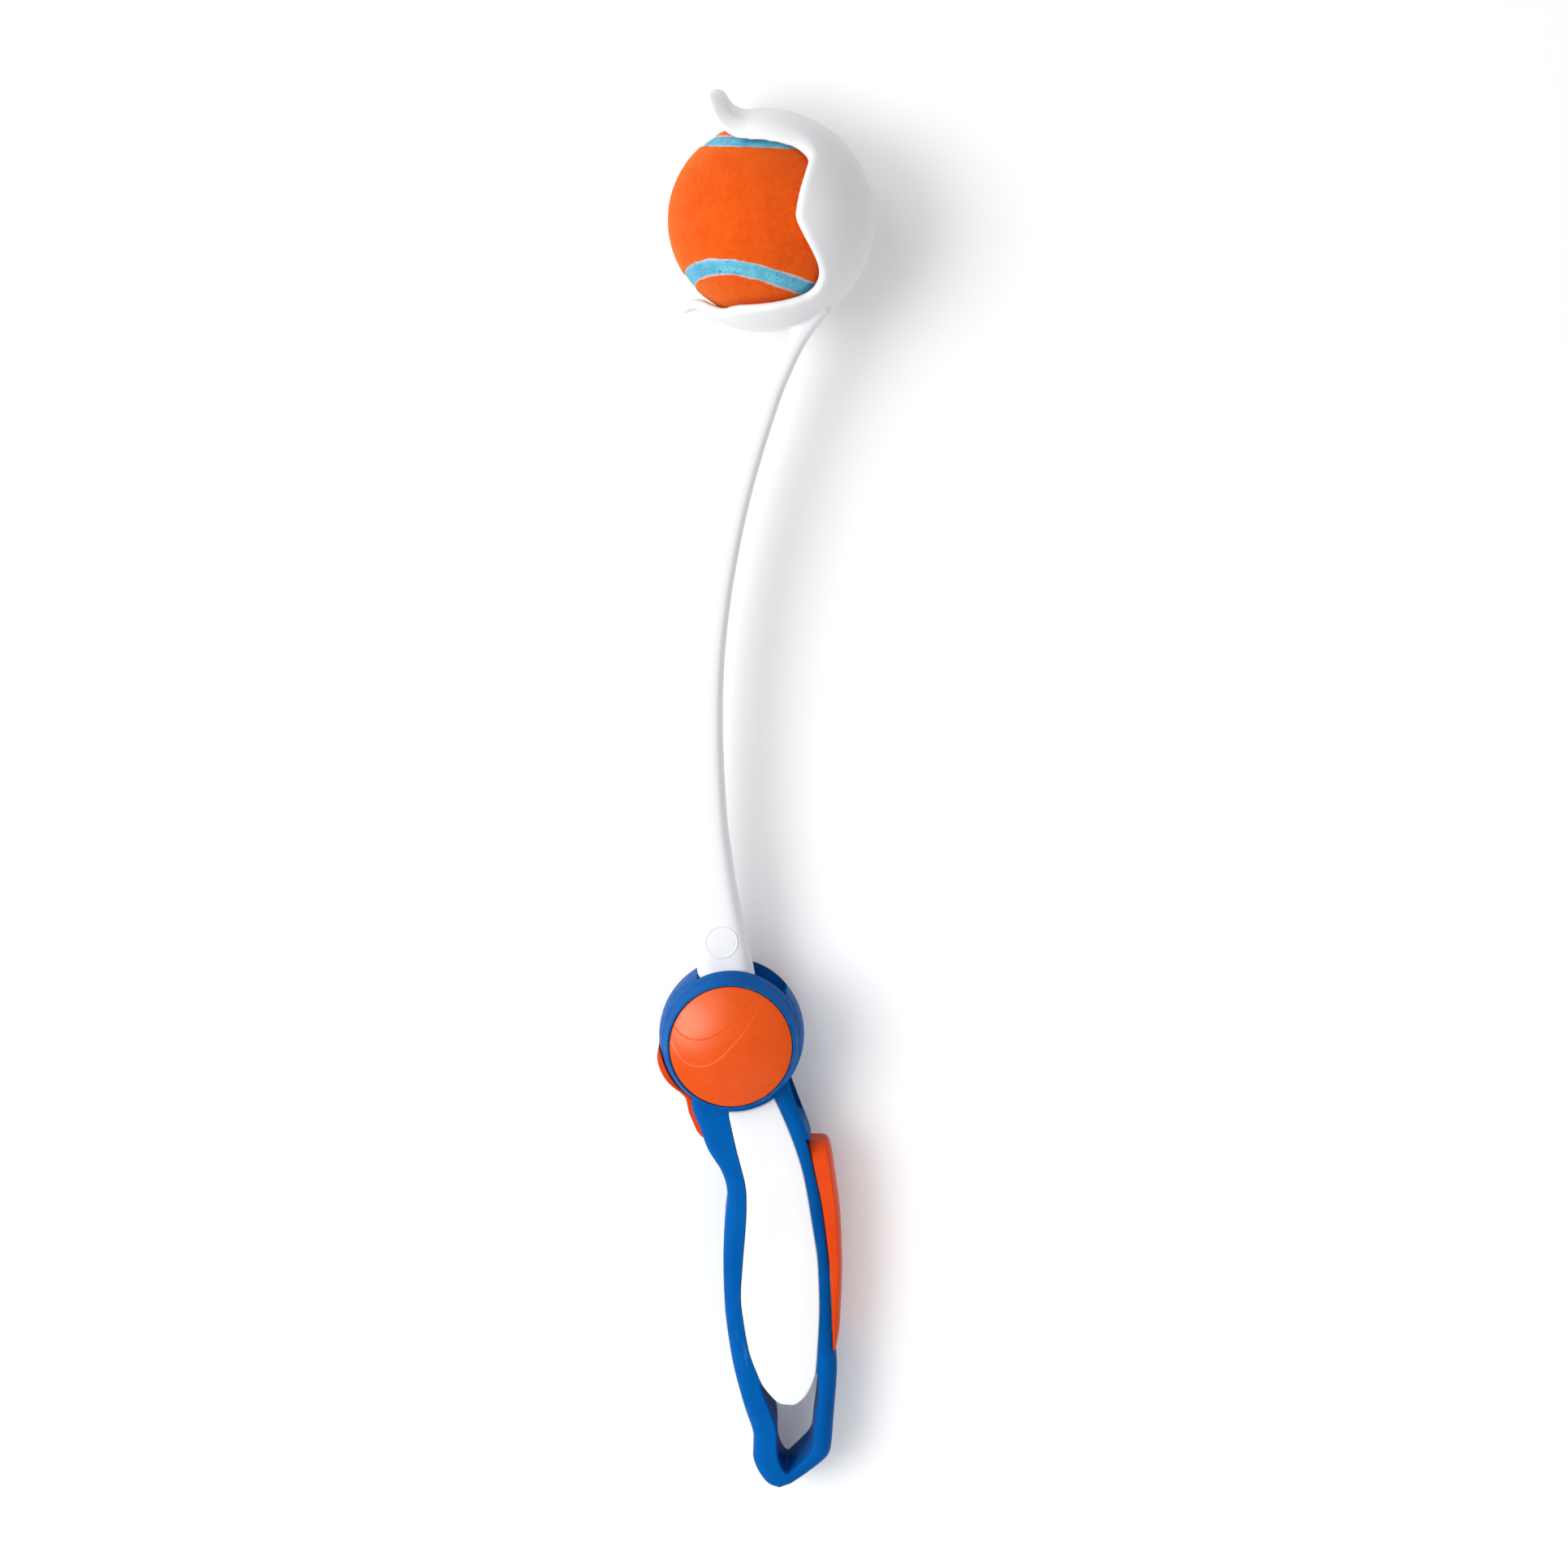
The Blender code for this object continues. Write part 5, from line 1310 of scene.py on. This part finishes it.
def cloud(place, scale, detail=2.0, low=0.35, high=0.65, rough=0.5):
    """Noise from 0 to 1, its middle stretched between low and high."""
    grain = node(place, "TexNoise", Vector=place, Scale=scale, Detail=detail, Roughness=rough).outputs[0]
    return node(place, "MapRange", Value=grain, From_Min=low, From_Max=high).outputs[0]


def between(share, low, high):
    return node(share, "MapRange", Value=share, To_Min=low, To_Max=high).outputs[0]


def mixed(share, a, b):
    return node(share, "Mix", {"data_type": "RGBA"}, i0=share, i6=a, i7=b).outputs[2]


def maths(operation, a, b):
    return node(a, "Math", {"operation": operation}, i0=a, i1=b).outputs[0]


def times(a, b):
    return maths("MULTIPLY", a, b)


def raised(height, distance, **inputs):
    return node(height, "Bump", Strength=1.0, Distance=distance, Height=height, **inputs).outputs[0]


def border_share(place):
    """How near to its piece's cut border a place lies."""
    return node(place, "Attribute", {"attribute_name": "border"}).outputs["Fac"]


def moulded(name, deep, light, worn, rough, wear=0.2, shine=0.5, tint=(1, 1, 1, 1), grain=0.000006):
    """Satin moulded plastic: faint cloudy colour, spark-eroded grain, rubbed edges and small scuffs."""
    look, shader, place = started(name)
    soft = node(place, "Bevel", {"samples": 4}, Radius=SOFT_EDGE_R).outputs[0]
    true = node(place, "NewGeometry").outputs["Normal"]
    same = node(place, "VectorMath", {"operation": "DOT_PRODUCT"}, i0=soft, i1=true).outputs["Value"]
    edge = node(place, "MapRange", Value=same, From_Min=0.99, From_Max=0.90).outputs[0]
    rubbed = times(edge, cloud(place, 420.0, 3.0, 0.42, 0.62))
    stretched = node(place, "Mapping", i1=(0, 0, 0), i3=(1.0, 0.12, 1.0), i0=place).outputs[0]
    scuff = cloud(stretched, 900.0, 2.0, 0.66, 0.74)
    marks = times(scuff, cloud(place, 35.0, 1.0, 0.5, 0.7))
    base = mixed(cloud(place, 60.0, 3.0), deep, light)
    base = mixed(times(rubbed, wear), base, worn)
    base = mixed(times(marks, 0.10), base, worn)
    rough_cloud = between(cloud(place, 160.0), rough - ROUGH_SPREAD, rough + ROUGH_SPREAD)
    total = maths("ADD", rough_cloud, between(marks, 0.0, 0.10))
    height = node(place, "TexNoise", Vector=place, Scale=1900.0, Detail=2.0).outputs[0]
    bump = raised(height, grain, Normal=soft)
    feed(shader, Base_Color=base, Roughness=total, Normal=bump, Specular_IOR_Level=shine, Specular_Tint=tint)
    return look


def felt_look():
    """Dyed needled felt: mottled colour, a short nap that catches the light, and a pale cut border."""
    look, shader, place = started("orange_felt_nap")
    fibres = cloud(place, 2300.0, 4.0, 0.30, 0.70, 0.7)
    tufts = cloud(place, 520.0, 3.0, 0.34, 0.66)
    patches = cloud(place, 150.0, 3.0)
    base = mixed(patches, (0.800, 0.080, 0.003, 1), (0.860, 0.104, 0.004, 1))
    base = mixed(times(tufts, 0.30), base, (0.930, 0.160, 0.010, 1))
    base = mixed(between(fibres, 0.34, 0.0), base, (0.480, 0.030, 0.002, 1))
    frayed = times(border_share(place), between(tufts, 0.55, 1.0))
    pale = node(place, "MapRange", Value=frayed, From_Min=0.38, From_Max=0.75).outputs[0]
    base = mixed(pale, base, (0.760, 0.470, 0.420, 1))
    height = maths("ADD", times(fibres, 0.6), times(tufts, 0.7))
    bump = raised(height, 0.00014)
    feed(shader, Base_Color=base, Roughness=0.95, Specular_IOR_Level=0.15, Normal=bump)
    feed(shader, Sheen_Weight=0.40, Sheen_Roughness=0.5, Sheen_Tint=(1.0, 0.58, 0.14, 1))
    return look


def seam_look():
    """Cured rubber cement: uneven pale blue, small dark pits, and a chalky border."""
    look, shader, place = started("seam_rubber_cement")
    patches = cloud(place, 210.0, 4.0)
    base = mixed(patches, (0.060, 0.350, 0.530, 1), (0.140, 0.520, 0.690, 1))
    pits = cloud(place, 1250.0, 1.0, 0.665, 0.70)
    base = mixed(times(pits, 0.75), base, (0.010, 0.110, 0.210, 1))
    frayed = times(border_share(place), cloud(place, 800.0, 2.0, 0.25, 0.55))
    base = mixed(frayed, base, (0.740, 0.560, 0.600, 1))
    grain = node(place, "TexNoise", Vector=place, Scale=1500.0, Detail=3.0).outputs[0]
    bump = raised(maths("SUBTRACT", grain, pits), 0.00006)
    feed(shader, Base_Color=base, Roughness=between(patches, 0.55, 0.75), Normal=bump)
    return look


def steel_look():
    """Turned and brushed steel."""
    look, shader, place = started("brushed_steel_turned")
    stretched = node(place, "Mapping", i0=place, i3=(1.0, 1.0, 14.0)).outputs[0]
    lines = cloud(stretched, 700.0, 3.0)
    base = mixed(lines, (0.42, 0.43, 0.45, 1), (0.62, 0.63, 0.64, 1))
    bump = raised(lines, 0.000004)
    feed(shader, Base_Color=base, Metallic=1.0, Roughness=between(lines, 0.26, 0.42), Normal=bump)
    return look


WHITE = moulded(
    "white_satin", (0.848, 0.853, 0.865, 1), (0.862, 0.866, 0.876, 1), (0.90, 0.90, 0.90, 1), 0.42,
    wear=0.1,
)
BLUE = moulded(
    "blue_satin", (0.0012, 0.090, 0.345, 1), (0.0018, 0.104, 0.382, 1), (0.16, 0.38, 0.66, 1), 0.40,
    wear=0.30, shine=0.02, tint=(0.5, 0.7, 1.0, 1),
)
ORANGE = moulded(
    "orange_satin", (0.725, 0.070, 0.0020, 1), (0.765, 0.086, 0.0035, 1), (0.86, 0.24, 0.09, 1), 0.27,
    shine=0.55, tint=(1.0, 0.78, 0.66, 1),
)
GRIP_ORANGE = moulded(
    "orange_grip", (0.735, 0.056, 0.0045, 1), (0.775, 0.069, 0.0065, 1), (0.84, 0.16, 0.05, 1), 0.44,
    shine=0.10, grain=0.000010,
)
NYLON = moulded(
    "nylon_natural", (0.70, 0.68, 0.60, 1), (0.80, 0.78, 0.70, 1), (0.85, 0.83, 0.78, 1), 0.48,
)
RUBBER = moulded(
    "core_rubber", (0.030, 0.030, 0.034, 1), (0.055, 0.055, 0.060, 1), (0.12, 0.12, 0.12, 1), 0.72,
    wear=0.3,
)
FELT = felt_look()
SEAM = seam_look()
STEEL = steel_look()


def coat(obj, look):
    obj.data.materials.clear()
    obj.data.materials.append(look)


def piece(obj, look, body, slot, *nodes, sharp=32, weighted=True):
    """Moves a drawn piece to the part's own place, dresses it, and hands it to the body it rides on."""
    obj.data.transform(Matrix.Translation(HUB))
    obj.data.shade_smooth()
    if sharp:
        obj.data.set_sharp_from_angle(angle=math.radians(sharp))
    if weighted:
        obj.modifiers.new("weighted", "WEIGHTED_NORMAL").keep_sharp = True
    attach(obj, body)
    coat(obj, look)
    if nodes:
        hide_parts(*nodes)


def dress(look, slot, *nodes):
    """Gives kept CAD nodes their material."""
    for name in nodes:
        coat(frame["nodes"][name], look)


arm = throwing_arm()
mark = round_mark(arm)
piece(arm, WHITE, "arm", "white_plastic", "throwing_arm", sharp=0, weighted=False)
piece(mark, WHITE, "arm", "white_plastic", sharp=0, weighted=False)
piece(pivot_barrel(), BLUE, "arm", "blue_plastic", "pivot_barrel")
piece(
    handle_shell("handle_front_moulding", FRONT_BEZEL_Z, True),
    BLUE, "handle", "blue_plastic", "handle_front_shell",
)
piece(
    handle_shell("handle_rear_moulding", REAR_BEZEL_Z, False),
    BLUE, "handle", "blue_plastic", "handle_rear_shell",
)
piece(panel("front_inlay", True), WHITE, "handle", "white_plastic", "front_panel")
piece(panel("rear_inlay", False), WHITE, "handle", "white_plastic", "rear_panel")
piece(
    cap("front_domed_cap", FRONT_BEZEL_Z, FRONT_DOME_RISE, True),
    ORANGE, "handle", "orange_plastic", "front_cap", sharp=60, weighted=False,
)
piece(
    cap("rear_domed_cap", REAR_BEZEL_Z, REAR_DOME_RISE, False),
    ORANGE, "handle", "orange_plastic", "rear_cap", sharp=60, weighted=False,
)
piece(lock_lever(), GRIP_ORANGE, "lever", "orange_plastic", "lock_lever")
piece(belt_clip(), GRIP_ORANGE, "clip", "orange_plastic", "belt_clip", sharp=40)
piece(felt("felt_panel_a", 0), FELT, "ball", "orange_felt", "ball_felt_a", sharp=0, weighted=False)
piece(felt("felt_panel_b", 1), FELT, "ball", "orange_felt", "ball_felt_b", sharp=0, weighted=False)
piece(ball_seam(), SEAM, "ball", "seam_rubber", "ball_seam", sharp=0, weighted=False)
dress(
    STEEL, "steel", "fold_axle", "fold_nut", "spring_washer", "lever_pin", "lever_spring",
    "handle_screw_1", "handle_screw_2", "handle_screw_3", "handle_screw_4",
)
dress(NYLON, "nylon", "thrust_washer_front", "thrust_washer_rear")
dress(RUBBER, "core_rubber", "ball_core_left", "ball_core_right")


# The stage: a pale floor that the thrower lies on, soft light from the left, and the camera

CAMERA_TILT = 9
CAMERA_AWAY = 1.1
CAMERA_NEAR = 0.01
CAMERA_AIM = Vector((0.01795, 0.0867, 0))
CAMERA_LENS_SHARE = 3993 / 1932
FILM_W = 36
FLOOR_REACH = 4
FLOOR_GLOW = 0.15
WORLD_COLOUR = (0.97, 0.98, 1.0, 1)
WORLD_GLOW = 0.37


def floor_line():
    """The line, seen from the side, that the resting object stands on: its height at Y 0, and its slope."""
    seen = []
    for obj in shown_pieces():
        coords = np.empty(len(obj.data.vertices) * 3, np.float32)
        obj.data.vertices.foreach_get("co", coords)
        seen.append(coords.reshape(-1, 3)[:, 1:])
    points = np.concatenate(seen).astype(float)
    bins = np.round(points[:, 0] * 1000)
    lowest = [points[bins == k][np.argmin(points[bins == k][:, 1])] for k in np.unique(bins)]
    hull = []
    for p in lowest:
        while len(hull) > 1:
            a, b = hull[-2], hull[-1]
            if (b[0] - a[0]) * (p[1] - a[1]) > (b[1] - a[1]) * (p[0] - a[0]):
                break
            hull.pop()
        hull.append(p)
    for a, b in zip(hull, hull[1:]):
        if a[0] <= 0 <= b[0]:
            slope = (b[1] - a[1]) / (b[0] - a[0])
            return a[1] - slope * a[0], slope
    return min(p[1] for p in lowest), 0.0


def floor():
    """A plain pale sheet under the object."""
    level, slope = floor_line()
    bm = bmesh.new()
    far = FLOOR_REACH
    corners = [(-far, -far), (far, -far), (far, far), (-far, far)]
    bm.faces.new([bm.verts.new((x, y, level + slope * y)) for x, y in corners])
    obj = made("floor_sheet", bm)
    look, shader, place = started("floor_paper")
    base = mixed(cloud(place, 3.0), (0.845, 0.850, 0.855, 1), (0.855, 0.858, 0.860, 1))
    feed(shader, Base_Color=base, Roughness=0.9, Specular_IOR_Level=0.1)
    feed(shader, Emission_Color=(1, 1, 1, 1), Emission_Strength=FLOOR_GLOW)
    obj.data.materials.append(look)


def softbox(name, direction, away, size, watts):
    """A round lamp, away from what the camera aims at, and turned to it."""
    light = bpy.data.lights.new(name, "AREA")
    light.shape = "DISK"
    light.size = size
    light.energy = watts
    obj = placed(name, light)
    direction = Vector(direction).normalized()
    obj.location = HUB + CAMERA_AIM + direction * away
    obj.rotation_mode = "QUATERNION"
    obj.rotation_quaternion = direction.to_track_quat("Z", "Y")
    return obj


def camera():
    """The photo's camera, tilted a little from straight above."""
    tilt = math.radians(CAMERA_TILT)
    back = Vector((0, math.sin(tilt), math.cos(tilt)))
    up = Vector((0, math.cos(tilt), -math.sin(tilt)))
    lens = bpy.data.cameras.new("camera")
    lens.sensor_width = FILM_W
    lens.lens = FILM_W * CAMERA_LENS_SHARE
    lens.clip_start = CAMERA_NEAR
    obj = placed("camera", lens)
    turn = Matrix((up.cross(back), up, back)).transposed().to_4x4()
    obj.matrix_world = Matrix.Translation(HUB + CAMERA_AIM + back * CAMERA_AWAY) @ turn
    bpy.context.scene.camera = obj


bpy.context.view_layer.update()
floor()
softbox("bank", (-0.62, 0.24, 0.74), 2.4, 3.0, 40)
softbox("key", (-0.60, 0.091, 0.795), 2.2, 1.2, 19)
softbox("fill", (0.20, -0.95, 0.85), 0.75, 0.5, 1.0).visible_glossy = False
world = bpy.data.worlds.new("world")
world.use_nodes = True
feed(world.node_tree.nodes["Background"], Color=WORLD_COLOUR, Strength=WORLD_GLOW)
bpy.context.scene.world = world
bpy.context.scene.view_settings.view_transform = "Standard"
camera()
